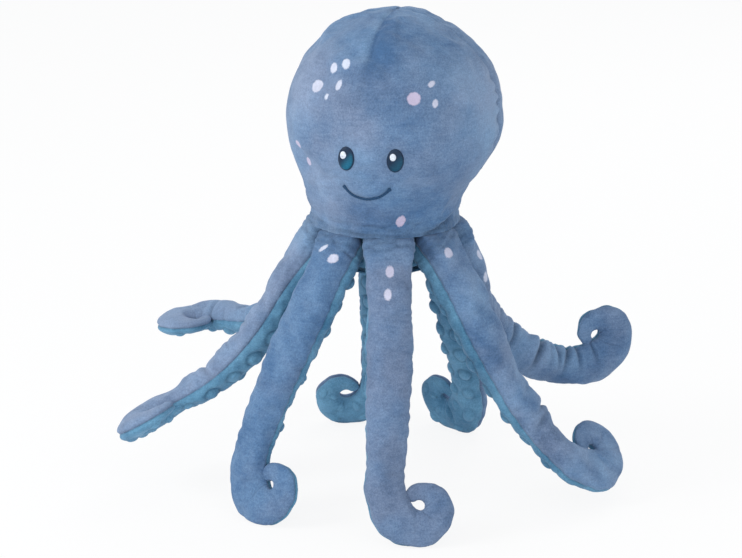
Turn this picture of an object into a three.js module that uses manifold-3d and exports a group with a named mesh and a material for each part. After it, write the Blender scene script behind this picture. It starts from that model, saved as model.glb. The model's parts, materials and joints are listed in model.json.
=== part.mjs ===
import * as THREE from "three";
import { mergeVertices } from "three/addons/utils/BufferGeometryUtils.js";
import Module from "manifold-3d";

const wasm = await Module();
wasm.setup();

// A plush octopus night light: a stuffed head with an embroidered face, eight stuffed arms with curled
// tips and two rows of padded suckers, and a battery light in a cloth pocket under the head.
// Millimetres, +Z up. It stands on its arms on z = 0 with its face along -Y, and its box is centred on
// the Z axis.

// Cloth and fits.
const PLUSH = 3;
const LINING = 1.2;
const SEWN_GAP = 0.3;
const SLIP_GAP = 0.4;

// Head. Heights are above the neck seam.
const NECK_WIDTH = 121;
const NECK_RISE = 34;
const CHEEK_WIDTH = 177;
const CHEEK_HEIGHT = 86;
const JAW_DROP = 34;
const CROWN_HEIGHT = 178;
const HEAD_LEAN = 8;

// Embroidered face, as seen from straight in front.
const STITCH = 0.8;
const EYE_WIDTH = 13.4;
const EYE_HEIGHT = 21;
const EYE_SPACING = 40;
const EYE_ASIDE = 4;
const EYE_RISE = 71;
const GLINT_WIDTH = 4.8;
const GLINT_HEIGHT = 6.2;
const GLINT_ASIDE = -1.8;
const GLINT_UP = 3.8;
const MOUTH_WIDTH = 39;
const MOUTH_ASIDE = 1;
const MOUTH_SAG = 11;
const MOUTH_RISE = 46;
const MOUTH_LINE = 2.2;

// Arms. Each hinges on the cloth of its rounded root, in a ring under the neck seam.
const ARM_COUNT = 8;
const ARM_RING_TURN = 18;
const ARM_RING_RADIUS = 52;
const ARM_ROOT_WIDTH = 37;
const ARM_ROOT_DEPTH = 31;
const ARM_FULL_WIDTH = 39.5;
const ARM_FULL_AT = 80;
const ARM_WRIST_WIDTH = 32;
const ARM_TIP_WIDTH = 12;
const ARM_FLATNESS = 0.76;
const SHAFT_LENGTH = 178;
const CURL_LENGTH = 118;
const CURL_TURN = 315;
const CURL_TIGHTENING = 1.8;
const FOOT_FLAT = 0.5;

// Padded suckers, in pairs along the shaft.
const SUCKER_PAIRS = 6;
const SUCKER_FROM = 27;
const SUCKER_PITCH = 24;
const SUCKER_WIDTH = 11;
const SUCKER_PUFF = 3.4;
const SUCKER_SPREAD = 0.48;

// How each arm was left lying, in degrees: its swing aside and its droop below level at the root, then how
// much each third of its shaft lifts towards its back, sways towards its curl and twists. Stretch is the
// pull on its cloth. An arm that stands droops until its foot is down.
const bend = (lift, sway = 0, twist = 0) => ({ lift, sway, twist });
const ARM_SETS = [
  { stands: true, swing: 0, droop: 51, bends: [bend(-17), bend(0, -3), bend(2, -2)] },
  { swing: 15, droop: 50.5, stretch: 1.12, bends: [bend(-12, 4), bend(0, 6), bend(16, 6, 8)] },
  { swing: 20, droop: 60, bends: [bend(-12, 0, 20), bend(26, 20, 50), bend(8, 28, 20)] },
  { stands: true, swing: -3, droop: 52, bends: [bend(-18, 4), bend(-2, 2), bend(0)] },
  { stands: true, swing: 0, droop: 50, bends: [bend(-18), bend(-2), bend(0)] },
  { swing: 0, droop: 54, bends: [bend(-10), bend(37), bend(20)] },
  { swing: 0, droop: 50, stretch: 1.03, bends: [bend(-12, 0, 14), bend(14), bend(18)] },
  { stands: true, swing: -10, droop: 51, bends: [bend(-16, -8, -8), bend(0, 1, -8), bend(0, 6)] },
];

// Underbody: the stuffed ring inside the arms, round the pocket. Depths are below the neck seam.
const UNDERBODY_DEPTH = 34;
const UNDERBODY_BASE_WIDTH = 78;
const UNDERBODY_TOP_WIDTH = 96;
const UNDERBODY_ROUNDING = 1.5;
const ROOT_CLEARANCE = 1;
const ARM_SEAM_DEPTH = 0.6;

// Light unit, standing in the pocket with its switch downwards.
const UNIT_WIDTH = 60;
const UNIT_HEIGHT = 46;
const UNIT_WALL = 2;
const CASE_HEIGHT = 19;
const DOOR_THICKNESS = 2;
const RIM_HEIGHT = 2.4;
const RIM_WALL = 1.6;
const DOME_SKIRT = 6;
const CELL_COUNT = 3;
const CELL_WIDTH = 10.5;
const CELL_LENGTH = 44.5;
const CELL_NUB = 0.8;
const CONTACT_THICKNESS = 0.5;
const CONTACT_SPRING = 1.2;
const BOARD_THICKNESS = 1.6;
const LED_COUNT = 3;
const LED_WIDTH = 5;
const LED_HEIGHT = 7;
const LED_RING_RADIUS = 11;
const SWITCH_OFFSET = 22.2;
const SWITCH_WIDTH = 8.8;
const SWITCH_HEIGHT = 5;
const SWITCH_ROOF = 1;
const BUTTON_WIDTH = 7.6;
const BUTTON_HEIGHT = 4;
const BUTTON_EDGE = 0.6;
const BUTTON_STEM_WIDTH = 3;
const BUTTON_TRAVEL = 2;
const SPRING_WIRE = 0.5;
const SPRING_TURNS = 3;
const SCREW_WIDTH = 2.6;
const SCREW_HEAD_WIDTH = 4.6;
const SCREW_HEAD_HEIGHT = 1.2;
const SCREW_LENGTH = 8;

// Pocket flap, sewn on at the back and closed by a hook and loop strip at the front.
const FLAP_WIDTH = 76;
const FLAP_THICKNESS = 2.4;
const FLAP_HINGE_WIDTH = 30;
const FLAP_HINGE_LIP = 2.4;
const STRIP_THICKNESS = 0.8;
const STRIP_BAND = 4.5;
const STRIP_SPAN = 50;

const radians = THREE.MathUtils.degToRad;
const { lerp, smoothstep } = THREE.MathUtils;

function solidOf(geometry) {
  const bare = geometry.clone();
  bare.deleteAttribute("normal");
  bare.deleteAttribute("uv");
  const merged = mergeVertices(bare, 1e-4);
  return new wasm.Manifold(
    new wasm.Mesh({
      numProp: 3,
      vertProperties: new Float32Array(merged.attributes.position.array),
      triVerts: new Uint32Array(merged.index.array),
    }),
  );
}

function geometryOf(solid) {
  const mesh = solid.getMesh();
  return new THREE.BufferGeometry()
    .setAttribute("position", new THREE.BufferAttribute(new Float32Array(mesh.vertProperties), 3))
    .setIndex(new THREE.BufferAttribute(new Uint32Array(mesh.triVerts), 1));
}

// A solid of revolution about Z. The outline goes up its outer side, as [radius, height] pairs.
function turned(outline, segments = 32) {
  const points = outline.map(([radius, height]) => new THREE.Vector2(radius, height));
  return solidOf(new THREE.LatheGeometry(points, segments).rotateX(Math.PI / 2));
}

function plug(radius, low, high, segments = 32) {
  return turned([[0, low], [radius, low], [radius, high], [0, high]], segments);
}

function block(width, length, low, high, x = 0, y = 0) {
  return solidOf(new THREE.BoxGeometry(width, length, high - low).translate(x, y, (low + high) / 2));
}

// A quarter of an ellipse from its side up to its top, which lies on the axis.
function quarter(radius, low, height, steps) {
  const curve = new THREE.EllipseCurve(0, low, radius, height, 0, Math.PI / 2);
  return curve.getPoints(steps).map(({ x, y }, i) => [i < steps ? x : 0, y]);
}

// Head: its half outline from the neck seam to the crown, let out by a distance.
function headForm(letOut) {
  const neck = NECK_WIDTH / 2 + letOut;
  const cheek = CHEEK_WIDTH / 2 + letOut;
  const rise = new THREE.CubicBezierCurve(
    new THREE.Vector2(neck, 0),
    new THREE.Vector2(lerp(neck, cheek, 0.13), NECK_RISE),
    new THREE.Vector2(cheek, CHEEK_HEIGHT - JAW_DROP),
    new THREE.Vector2(cheek, CHEEK_HEIGHT),
  );
  const dome = quarter(cheek, CHEEK_HEIGHT, CROWN_HEIGHT - CHEEK_HEIGHT + letOut, 6);
  return turned([[0, 0], ...rise.getPoints(6).map(({ x, y }) => [x, y]), ...dome.slice(1)], 20);
}

// The head leans aside as it rises to its cheeks.
function leaned(solid) {
  const geometry = geometryOf(solid);
  const position = geometry.attributes.position;
  for (let i = 0; i < position.count; i++)
    position.setX(i, position.getX(i) + HEAD_LEAN * smoothstep(position.getZ(i), 0, CHEEK_HEIGHT));
  return solidOf(geometry);
}

// Satin stitches over the cover, inside an outline drawn from straight in front.
function stitched(outline, above) {
  const column = new THREE.ExtrudeGeometry(
    outline, { depth: CHEEK_WIDTH, bevelEnabled: false, curveSegments: 8 });
  const skin = headForm(above + STITCH).subtract(headForm(above));
  return leaned(skin.intersect(solidOf(column.rotateX(Math.PI / 2))));
}

function oval(x, y, width, height) {
  return new THREE.Shape().absellipse(x, y, width / 2, height / 2, 0, 2 * Math.PI);
}

// The smile is an arc that hangs from the mouth's two corners.
function smile() {
  const radius = ((MOUTH_WIDTH / 2) ** 2 + MOUTH_SAG ** 2) / (2 * MOUTH_SAG);
  const reach = Math.asin(MOUTH_WIDTH / 2 / radius);
  const [from, to] = [-Math.PI / 2 - reach, -Math.PI / 2 + reach];
  const centre = MOUTH_RISE - MOUTH_SAG + radius;
  return new THREE.Shape()
    .absarc(MOUTH_ASIDE, centre, radius + MOUTH_LINE / 2, from, to, false)
    .absarc(MOUTH_ASIDE, centre, radius - MOUTH_LINE / 2, to, from, true);
}

// Light unit, from its battery door up to the top of its diffuser.
const UNIT_BASE = SLIP_GAP - UNDERBODY_DEPTH;
const UNIT_RADIUS = UNIT_WIDTH / 2;
const CASE_FLOOR = UNIT_BASE + DOOR_THICKNESS + SEWN_GAP;
const CASE_TOP = UNIT_BASE + CASE_HEIGHT;
const RIM_TOP = CASE_TOP + RIM_HEIGHT;
const RIM_RADIUS = UNIT_RADIUS - UNIT_WALL - SEWN_GAP;
const CELL_PITCH = CELL_WIDTH + SEWN_GAP;
const CELL_Z = CASE_FLOOR + SLIP_GAP + CELL_WIDTH / 2;
const TROUGH_LENGTH = CELL_LENGTH + CONTACT_SPRING + 2 * CONTACT_THICKNESS + 4 * SEWN_GAP;
const TROUGH_TOP = CELL_Z + CELL_WIDTH / 2 + SLIP_GAP;
const BOARD_SEAT = TROUGH_TOP + RIM_WALL;
const BOARD_LOW = BOARD_SEAT + SEWN_GAP;
const BOARD_RADIUS = RIM_RADIUS - RIM_WALL - SLIP_GAP;
const SWITCH_LOW = BOARD_SEAT - SWITCH_HEIGHT;
const BUTTON_HEAD_TOP = UNIT_BASE + BUTTON_HEIGHT;

function unitForm(letOut, low) {
  const radius = UNIT_RADIUS + letOut;
  const bendAt = CASE_TOP + DOME_SKIRT;
  const height = UNIT_BASE + UNIT_HEIGHT - bendAt + letOut;
  return turned([[0, low], [radius, low], ...quarter(radius, bendAt, height, 6)]);
}

// Battery case: a puck with a trough for the cells below and a well for the circuit board above.
function batteryCase() {
  const puck = turned([
    [0, CASE_FLOOR],
    [UNIT_RADIUS, CASE_FLOOR],
    [UNIT_RADIUS, CASE_TOP],
    [RIM_RADIUS, CASE_TOP],
    [RIM_RADIUS, RIM_TOP],
    [0, RIM_TOP],
  ]);
  const well = plug(BOARD_RADIUS + SLIP_GAP, BOARD_SEAT, RIM_TOP + 1);
  const trough = block(CELL_COUNT * CELL_PITCH + SEWN_GAP, TROUGH_LENGTH, CASE_FLOOR - 1, TROUGH_TOP);
  const switchBore = plug(SWITCH_WIDTH / 2 + SLIP_GAP, CASE_FLOOR - 1, BOARD_SEAT + 1, 16);
  const screwBore = plug(SCREW_WIDTH / 2 + SEWN_GAP, CASE_FLOOR - 1, CASE_FLOOR + SCREW_LENGTH, 10);
  return puck
    .subtract(well)
    .subtract(trough)
    .subtract(switchBore.translate([SWITCH_OFFSET, 0, 0]))
    .subtract(screwBore.translate([-SWITCH_OFFSET, 0, 0]));
}

function batteryDoor() {
  const counterbore = plug(
    SCREW_HEAD_WIDTH / 2 + SEWN_GAP, UNIT_BASE - 1, UNIT_BASE + SCREW_HEAD_HEIGHT, 12);
  const screwHole = plug(SCREW_WIDTH / 2 + SEWN_GAP, UNIT_BASE - 1, CASE_FLOOR, 12);
  const buttonHole = plug(BUTTON_WIDTH / 2 + SLIP_GAP, UNIT_BASE - 1, CASE_FLOOR, 16);
  return plug(UNIT_RADIUS, UNIT_BASE, UNIT_BASE + DOOR_THICKNESS)
    .subtract(buttonHole.translate([SWITCH_OFFSET, 0, 0]))
    .subtract(counterbore.add(screwHole).translate([-SWITCH_OFFSET, 0, 0]));
}

function doorScrew() {
  const headTop = UNIT_BASE + SCREW_HEAD_HEIGHT - SEWN_GAP;
  return turned([
    [0, UNIT_BASE],
    [SCREW_HEAD_WIDTH / 2, UNIT_BASE],
    [SCREW_HEAD_WIDTH / 2, headTop],
    [SCREW_WIDTH / 2, headTop],
    [SCREW_WIDTH / 2, UNIT_BASE + SCREW_LENGTH],
    [0, UNIT_BASE + SCREW_LENGTH],
  ], 10).translate([-SWITCH_OFFSET, 0, 0]);
}

// The diffuser's skirt slips over the case's rim.
function diffuser() {
  const skirt = CASE_TOP + SEWN_GAP;
  return unitForm(0, skirt).subtract(unitForm(-UNIT_WALL, skirt - 1));
}

// A cell lies along Y, its terminal at the end that facing gives.
function cell(index, facing) {
  const radius = CELL_WIDTH / 2;
  const half = CELL_LENGTH / 2;
  const outline = [
    [0, -half],
    [radius, -half],
    [radius, half - CELL_NUB],
    [radius / 3, half - CELL_NUB],
    [radius / 3, half],
    [0, half],
  ];
  const x = (index - (CELL_COUNT - 1) / 2) * CELL_PITCH;
  return turned(outline, 16)
    .rotate([-90 * facing, 0, 0])
    .translate([x, (facing * CONTACT_SPRING) / 2, CELL_Z]);
}

// A contact plate at one end of the trough. It spans some cells and has a sprung dimple for each of them
// that turns its flat end to it.
function contact(side, first, last, sprung) {
  const placeOf = (index) => (index - (CELL_COUNT - 1) / 2) * CELL_PITCH;
  const width = (last - first + 1) * CELL_PITCH - 2 * SEWN_GAP;
  const outer = TROUGH_LENGTH / 2 - SEWN_GAP;
  let plate = block(
    width, CONTACT_THICKNESS, CELL_Z - CELL_WIDTH / 2, CELL_Z + CELL_WIDTH / 2,
    placeOf((first + last) / 2), side * (outer - CONTACT_THICKNESS / 2));
  const overlap = CONTACT_THICKNESS / 2;
  for (const index of sprung) {
    const dimple = turned([
      [0, 0],
      [CELL_WIDTH / 4, 0],
      [CELL_WIDTH / 8, CONTACT_SPRING + overlap],
      [0, CONTACT_SPRING + overlap],
    ], 8);
    plate = plate.add(
      dimple.rotate([90 * side, 0, 0]).translate([placeOf(index), side * (outer - overlap), CELL_Z]));
  }
  return plate;
}

function switchBody() {
  const bore = plug(BUTTON_STEM_WIDTH / 2 + SEWN_GAP, SWITCH_LOW - 1, BOARD_SEAT - SWITCH_ROOF, 12);
  return plug(SWITCH_WIDTH / 2, SWITCH_LOW, BOARD_SEAT, 16).subtract(bore).translate([SWITCH_OFFSET, 0, 0]);
}

// The push button is held in by its collar over the door, and its stem runs in the switch.
function pushButton() {
  const stemTop = BOARD_SEAT - SWITCH_ROOF - BUTTON_TRAVEL - SEWN_GAP;
  return turned([
    [0, UNIT_BASE],
    [BUTTON_WIDTH / 2 - BUTTON_EDGE, UNIT_BASE],
    [BUTTON_WIDTH / 2, UNIT_BASE + BUTTON_EDGE],
    [BUTTON_WIDTH / 2, CASE_FLOOR],
    [SWITCH_WIDTH / 2, CASE_FLOOR],
    [SWITCH_WIDTH / 2, BUTTON_HEAD_TOP],
    [BUTTON_STEM_WIDTH / 2, BUTTON_HEAD_TOP],
    [BUTTON_STEM_WIDTH / 2, stemTop],
    [0, stemTop],
  ], 16).translate([SWITCH_OFFSET, 0, 0]);
}

// The button's return spring, between its collar and the switch.
function buttonSpring() {
  const wire = SPRING_WIRE / 2;
  const radius = (BUTTON_STEM_WIDTH + SWITCH_WIDTH) / 4;
  const low = BUTTON_HEAD_TOP + SEWN_GAP + wire;
  const high = SWITCH_LOW - SEWN_GAP - wire;
  class Helix extends THREE.Curve {
    getPoint(share) {
      const angle = 2 * Math.PI * SPRING_TURNS * share;
      return new THREE.Vector3(radius * Math.cos(angle), radius * Math.sin(angle), lerp(low, high, share));
    }
  }
  const coil = new THREE.ExtrudeGeometry(oval(0, 0, SPRING_WIRE, SPRING_WIRE), {
    extrudePath: new Helix(), steps: 8 * SPRING_TURNS, curveSegments: 2, bevelEnabled: false,
  });
  return solidOf(coil.translate(SWITCH_OFFSET, 0, 0));
}

function led(index) {
  const turn = radians((360 / LED_COUNT) * index + 90);
  const base = BOARD_LOW + BOARD_THICKNESS + SEWN_GAP;
  const radius = LED_WIDTH / 2;
  const flange = radius + 0.4;
  return turned([
    [0, base],
    [flange, base],
    [flange, base + 1],
    [radius, base + 1],
    ...quarter(radius, base + LED_HEIGHT - radius, radius, 3),
  ], 12).translate([LED_RING_RADIUS * Math.cos(turn), LED_RING_RADIUS * Math.sin(turn), 0]);
}

// Pocket. The flap and its strips are drawn with the hinge on the +X side.
const POCKET_LET_OUT = SLIP_GAP + LINING;
const FLAP_TOP = -UNDERBODY_DEPTH - 3 * SEWN_GAP - 2 * STRIP_THICKNESS;
const FLAP_HINGE_TURN = 180 + ARM_RING_TURN - 180 / ARM_COUNT;

function pocketLining() {
  return unitForm(POCKET_LET_OUT, -UNDERBODY_DEPTH).subtract(unitForm(SLIP_GAP, -UNDERBODY_DEPTH - 1));
}

function pocketFlap() {
  const low = FLAP_TOP - FLAP_THICKNESS;
  const radius = FLAP_WIDTH / 2;
  const hinge = Math.sqrt(radius ** 2 - (FLAP_HINGE_WIDTH / 2) ** 2);
  const lip = block(
    FLAP_HINGE_LIP, FLAP_HINGE_WIDTH, low, -UNDERBODY_DEPTH - SEWN_GAP, hinge - FLAP_HINGE_LIP / 2);
  return plug(radius, low, FLAP_TOP)
    .subtract(block(radius, FLAP_WIDTH, low - 1, FLAP_TOP + 1, hinge + radius / 2))
    .add(lip);
}

function fasteningStrip(top) {
  const inner = UNIT_RADIUS + POCKET_LET_OUT + 2 * SEWN_GAP;
  const [from, to] = [Math.PI - radians(STRIP_SPAN / 2), Math.PI + radians(STRIP_SPAN / 2)];
  const outline = new THREE.Shape()
    .absarc(0, 0, inner + STRIP_BAND, from, to, false)
    .absarc(0, 0, inner, to, from, true);
  const band = new THREE.ExtrudeGeometry(
    outline, { depth: STRIP_THICKNESS, bevelEnabled: false, curveSegments: 6 });
  return solidOf(band.translate(0, 0, top - STRIP_THICKNESS));
}

// The frames an arm passes through, with its root hinge at the origin, drooping in the XZ plane: p a point
// of its middle line, t its heading, n out of its back, b towards its curl, s the length run so far.
function armFrames({ droop, stretch = 1, bends }) {
  const [cos, sin] = [Math.cos(radians(droop)), Math.sin(radians(droop))];
  const t = new THREE.Vector3(cos, 0, -sin);
  const n = new THREE.Vector3(sin, 0, cos);
  const b = new THREE.Vector3(0, 1, 0);
  const p = new THREE.Vector3();
  const curlAt = (share) => CURL_TURN * share ** CURL_TIGHTENING;
  const curl = (from, to) => bend(0, (curlAt(to) - curlAt(from)) / (to - from));
  const third = SHAFT_LENGTH / bends.length;
  const runs = [
    ...bends.map((each) => ({ run: third, pull: stretch, steps: 3, bendAt: () => each })),
    { run: CURL_LENGTH, pull: 1, steps: 10, bendAt: curl },
  ];
  let s = 0;
  const frames = [];
  const keep = () => frames.push({ p: p.clone(), t: t.clone(), n: n.clone(), b: b.clone(), s });
  const turnBy = ({ lift, sway, twist }, share) => {
    const axis = b.clone().multiplyScalar(-lift).addScaledVector(n, sway);
    const angle = radians(axis.length() * share);
    if (angle > 0) for (const v of [t, n, b]) v.applyAxisAngle(axis.clone().normalize(), angle);
    for (const v of [n, b]) v.applyAxisAngle(t, radians(twist * share));
  };
  keep();
  for (const { run, pull, steps, bendAt } of runs)
    for (let i = 0; i < steps; i++) {
      const bent = bendAt(i / steps, (i + 1) / steps);
      turnBy(bent, 0.5 / steps);
      p.addScaledVector(t, (run * pull) / steps);
      turnBy(bent, 0.5 / steps);
      s += run / steps;
      keep();
    }
  return frames;
}

function armHalfWidth(s) {
  if (s <= ARM_FULL_AT) return lerp(ARM_ROOT_WIDTH, ARM_FULL_WIDTH, smoothstep(s, 0, ARM_FULL_AT)) / 2;
  if (s <= SHAFT_LENGTH)
    return lerp(ARM_FULL_WIDTH, ARM_WRIST_WIDTH, (s - ARM_FULL_AT) / (SHAFT_LENGTH - ARM_FULL_AT)) / 2;
  return lerp(ARM_WRIST_WIDTH, ARM_TIP_WIDTH, ((s - SHAFT_LENGTH) / CURL_LENGTH) ** 2.2) / 2;
}

function armHalfDepth(s) {
  const rootShare = 1 - smoothstep(s, 0, ARM_FULL_AT);
  return armHalfWidth(s) * lerp(ARM_FLATNESS, ARM_ROOT_DEPTH / ARM_ROOT_WIDTH, rootShare);
}

// The rings of half an arm, between its two side seams: side 1 is the back, side -1 the sucker side. They
// run round its root, along its middle line and round its tip.
function armHalf(frames, side) {
  const SECTION_STEPS = 5;
  const CAP_STEPS = 3;
  const ring = ({ p, t, n, b, s }, scale, ahead) => {
    const points = [];
    for (let i = 0; i <= SECTION_STEPS; i++) {
      const phi = (Math.PI * i) / SECTION_STEPS;
      const rise = SEWN_GAP / 2 + armHalfDepth(s) * scale * Math.sin(phi);
      const point = p.clone().addScaledVector(t, ahead);
      point.addScaledVector(b, armHalfWidth(s) * scale * Math.cos(phi)).addScaledVector(n, side * rise);
      points.push(point);
    }
    return side < 0 ? points.reverse() : points;
  };
  const rootCap = [];
  const tipCap = [];
  for (let i = 1; i < CAP_STEPS; i++) {
    const psi = (Math.PI / 2) * (i / CAP_STEPS);
    rootCap.push(ring(frames[0], Math.sin(psi), (-ARM_ROOT_DEPTH / 2) * Math.cos(psi)));
    tipCap.push(ring(frames.at(-1), Math.cos(psi), (ARM_TIP_WIDTH / 2) * Math.sin(psi)));
  }
  return [...rootCap, ...frames.map((frame) => ring(frame, 1, 0)), ...tipCap];
}

// A closed body from a row of rings with equal numbers of points. Each four-sided face is split along one
// of its two diagonals; the halves of an arm use the same one where they meet.
function skinned(rings, side) {
  const count = rings[0].length;
  const middle = (ring) => ring.reduce((sum, p) => sum.add(p), new THREE.Vector3()).divideScalar(count);
  const points = [...rings.flat(), middle(rings[0]), middle(rings.at(-1))];
  const [first, last] = [points.length - 2, points.length - 1];
  const top = (rings.length - 1) * count;
  const faces = [];
  for (let i = 0; i < count; i++) {
    const next = (i + 1) % count;
    for (let low = 0; low < top; low += count) {
      const [a, b, c, d] = [low + i, low + next, low + count + next, low + count + i];
      if (side > 0) faces.push(a, b, c, a, c, d);
      else faces.push(a, b, d, b, c, d);
    }
    faces.push(first, next, i, last, top + i, top + next);
  }
  return solidOf(new THREE.BufferGeometry().setFromPoints(points).setIndex(faces));
}

// A sucker at a place along an arm, aside of its middle line, square to the curve of its sucker side.
function sucker(frames, s, aside) {
  const after = frames.findIndex((frame) => frame.s > s);
  const [low, high] = [frames[after - 1], frames[after]];
  const share = (s - low.s) / (high.s - low.s);
  const between = (key) => low[key].clone().lerp(high[key], share);
  const across = armHalfWidth(s) * aside;
  const out = -armHalfDepth(s) * Math.sqrt(1 - aside ** 2);
  const [n, b] = [between("n").normalize(), between("b").normalize()];
  const facing = b.clone().multiplyScalar(across / armHalfWidth(s) ** 2);
  facing.addScaledVector(n, out / armHalfDepth(s) ** 2).normalize();
  const radius = (SUCKER_WIDTH / 2) * (armHalfWidth(s) / armHalfWidth(ARM_FULL_AT));
  const foot = SUCKER_PUFF / 2;
  const pad = new THREE.CylinderGeometry(0.62 * radius, radius, SUCKER_PUFF + foot, 5, 1);
  pad.translate(0, (SUCKER_PUFF - foot) / 2, 0);
  pad.applyQuaternion(new THREE.Quaternion().setFromUnitVectors(new THREE.Vector3(0, 1, 0), facing));
  return solidOf(pad.translate(...between("p").addScaledVector(b, across).addScaledVector(n, out)));
}

const armOutline = (set) => {
  const frames = armFrames(set);
  return [...armHalf(frames, 1), ...armHalf(frames, -1)].flat();
};

// The first arm sets how high the body stands; the other standing arms droop to the same floor.
const HINGE_HEIGHT = -FOOT_FLAT - Math.min(...armOutline(ARM_SETS[0]).map(({ z }) => z));
const HINGE_DEPTH = -ARM_ROOT_DEPTH / 2 - ARM_SEAM_DEPTH;
const NECK_SEAM_HEIGHT = HINGE_HEIGHT - HINGE_DEPTH;

// How many degrees more an arm must droop until its lowest point is down to a height.
function droopToReach(points, height) {
  const lowestAt = (turn) =>
    Math.min(...points.map(({ x, z }) => z * Math.cos(turn) - x * Math.sin(turn)));
  let [up, down] = [radians(-15), radians(15)];
  while (down - up > 1e-6) {
    const turn = (up + down) / 2;
    if (lowestAt(turn) > height) up = turn;
    else down = turn;
  }
  return THREE.MathUtils.radToDeg(up);
}

function armSolids(set) {
  const more = set.stands ? droopToReach(armOutline(set), -HINGE_HEIGHT - FOOT_FLAT) : 0;
  const frames = armFrames({ ...set, droop: set.droop + more });
  const back = skinned(armHalf(frames, 1), 1);
  let under = skinned(armHalf(frames, -1), -1);
  for (let pair = 0; pair < SUCKER_PAIRS; pair++)
    for (const aside of [-SUCKER_SPREAD, SUCKER_SPREAD])
      under = under.add(sucker(frames, SUCKER_FROM + SUCKER_PITCH * pair, aside));
  const floor = block(1000, 1000, -2 * HINGE_HEIGHT, -HINGE_HEIGHT);
  return [back.subtract(floor), under.subtract(floor)];
}

// The underbody is cut back round each arm's root and round the way that arm swings.
function underbody() {
  const base = UNDERBODY_BASE_WIDTH / 2;
  const rim = UNDERBODY_TOP_WIDTH / 2;
  let body = turned([
    [0, -UNDERBODY_DEPTH],
    [base - UNDERBODY_ROUNDING, -UNDERBODY_DEPTH],
    [base, UNDERBODY_ROUNDING - UNDERBODY_DEPTH],
    [rim, HINGE_DEPTH],
    [rim, -SEWN_GAP],
    [0, -SEWN_GAP],
  ]).subtract(unitForm(POCKET_LET_OUT + SEWN_GAP, -UNDERBODY_DEPTH - 1));
  const radius = ARM_ROOT_DEPTH / 2 + ROOT_CLEARANCE;
  const width = ARM_ROOT_WIDTH / 2 + ROOT_CLEARANCE;
  const reach = 60;
  const swept = new THREE.Shape([
    new THREE.Vector2(-radius, -6),
    new THREE.Vector2(6, -50),
    new THREE.Vector2(reach, -50),
    new THREE.Vector2(reach, 2 * radius),
    new THREE.Vector2(-6, 2 * radius),
    new THREE.Vector2(-6, 14),
  ]);
  ARM_SETS.forEach(({ swing }, i) => {
    const socket = solidOf(new THREE.SphereGeometry(1, 20, 10).scale(radius, width, radius));
    const way = new THREE.ExtrudeGeometry(swept, { depth: 2 * width, bevelEnabled: false });
    const cut = socket.add(solidOf(way.rotateX(Math.PI / 2).translate(0, width, 0)));
    const turn = ARM_RING_TURN + (360 / ARM_COUNT) * i - 90;
    body = body.subtract(
      cut.rotate([0, 0, swing]).translate([ARM_RING_RADIUS, 0, HINGE_DEPTH]).rotate([0, 0, turn]));
  });
  return body;
}

const finish = (color, roughness, metalness = 0) => ({ color, roughness, metalness });
const BLUE_PLUSH = finish(0x728cb2, 0.95);
const TEAL_PLUSH = finish(0x4d8aa8, 0.95);
const STUFFING = finish(0xf1f1ee, 1);
const NAVY_THREAD = finish(0x1d3a55, 0.6);
const WHITE_THREAD = finish(0xeef3f7, 0.6);
const LINING_CLOTH = finish(0x5f7c96, 0.9);
const FASTENING_TAPE = finish(0x33465a, 0.8);
const CASE_PLASTIC = finish(0xe9e7e0, 0.45);
const BUTTON_PLASTIC = finish(0x3f7fae, 0.4);
const DIFFUSER_PLASTIC = finish(0xfbf7ea, 0.35);
const STEEL = finish(0xc4c6c9, 0.3, 1);
const CELL_WRAP = finish(0x2f6f4f, 0.35);
const BOARD_LAMINATE = finish(0x2c6b3f, 0.5);
const LED_RESIN = finish(0xfff3c8, 0.15);

const octopus = new THREE.Group();
const body = new THREE.Group();
body.position.z = NECK_SEAM_HEIGHT;
octopus.add(body);

function place(name, solid, look, parent = body) {
  const mesh = new THREE.Mesh(geometryOf(solid), new THREE.MeshStandardMaterial(look));
  mesh.name = name;
  parent.add(mesh);
}

place("head_cover", leaned(headForm(0)).subtract(leaned(headForm(-PLUSH))), BLUE_PLUSH);
const pocketRoom = unitForm(POCKET_LET_OUT + SEWN_GAP, -UNDERBODY_DEPTH);
place("head_stuffing", leaned(headForm(-PLUSH - SEWN_GAP)).subtract(pocketRoom), STUFFING);
for (const [side, sign] of [["left", -1], ["right", 1]]) {
  const x = EYE_ASIDE + (sign * EYE_SPACING) / 2;
  const glint = oval(x + GLINT_ASIDE, EYE_RISE + GLINT_UP, GLINT_WIDTH, GLINT_HEIGHT);
  place(`eye_${side}`, stitched(oval(x, EYE_RISE, EYE_WIDTH, EYE_HEIGHT), SEWN_GAP), NAVY_THREAD);
  place(`eye_glint_${side}`, stitched(glint, STITCH + 2 * SEWN_GAP), WHITE_THREAD);
}
place("mouth", stitched(smile(), SEWN_GAP), NAVY_THREAD);

ARM_SETS.forEach((set, i) => {
  const turn = radians(ARM_RING_TURN + (360 / ARM_COUNT) * i);
  const arm = new THREE.Group();
  arm.name = `arm_${i + 1}`;
  arm.position.set(ARM_RING_RADIUS * Math.sin(turn), -ARM_RING_RADIUS * Math.cos(turn), HINGE_DEPTH);
  arm.rotation.z = turn + radians(set.swing - 90);
  body.add(arm);
  const [back, under] = armSolids(set);
  place(`arm_${i + 1}_back`, back, BLUE_PLUSH, arm);
  place(`arm_${i + 1}_suckers`, under, TEAL_PLUSH, arm);
});

place("underbody", underbody(), TEAL_PLUSH);
place("pocket_lining", pocketLining(), LINING_CLOTH);
const pocket = new THREE.Group();
pocket.rotation.z = radians(FLAP_HINGE_TURN - 90);
body.add(pocket);
place("pocket_flap", pocketFlap(), TEAL_PLUSH, pocket);
place("loop_strip", fasteningStrip(-UNDERBODY_DEPTH - SEWN_GAP), FASTENING_TAPE, pocket);
place("hook_strip", fasteningStrip(FLAP_TOP + SEWN_GAP + STRIP_THICKNESS), FASTENING_TAPE, pocket);

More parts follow.
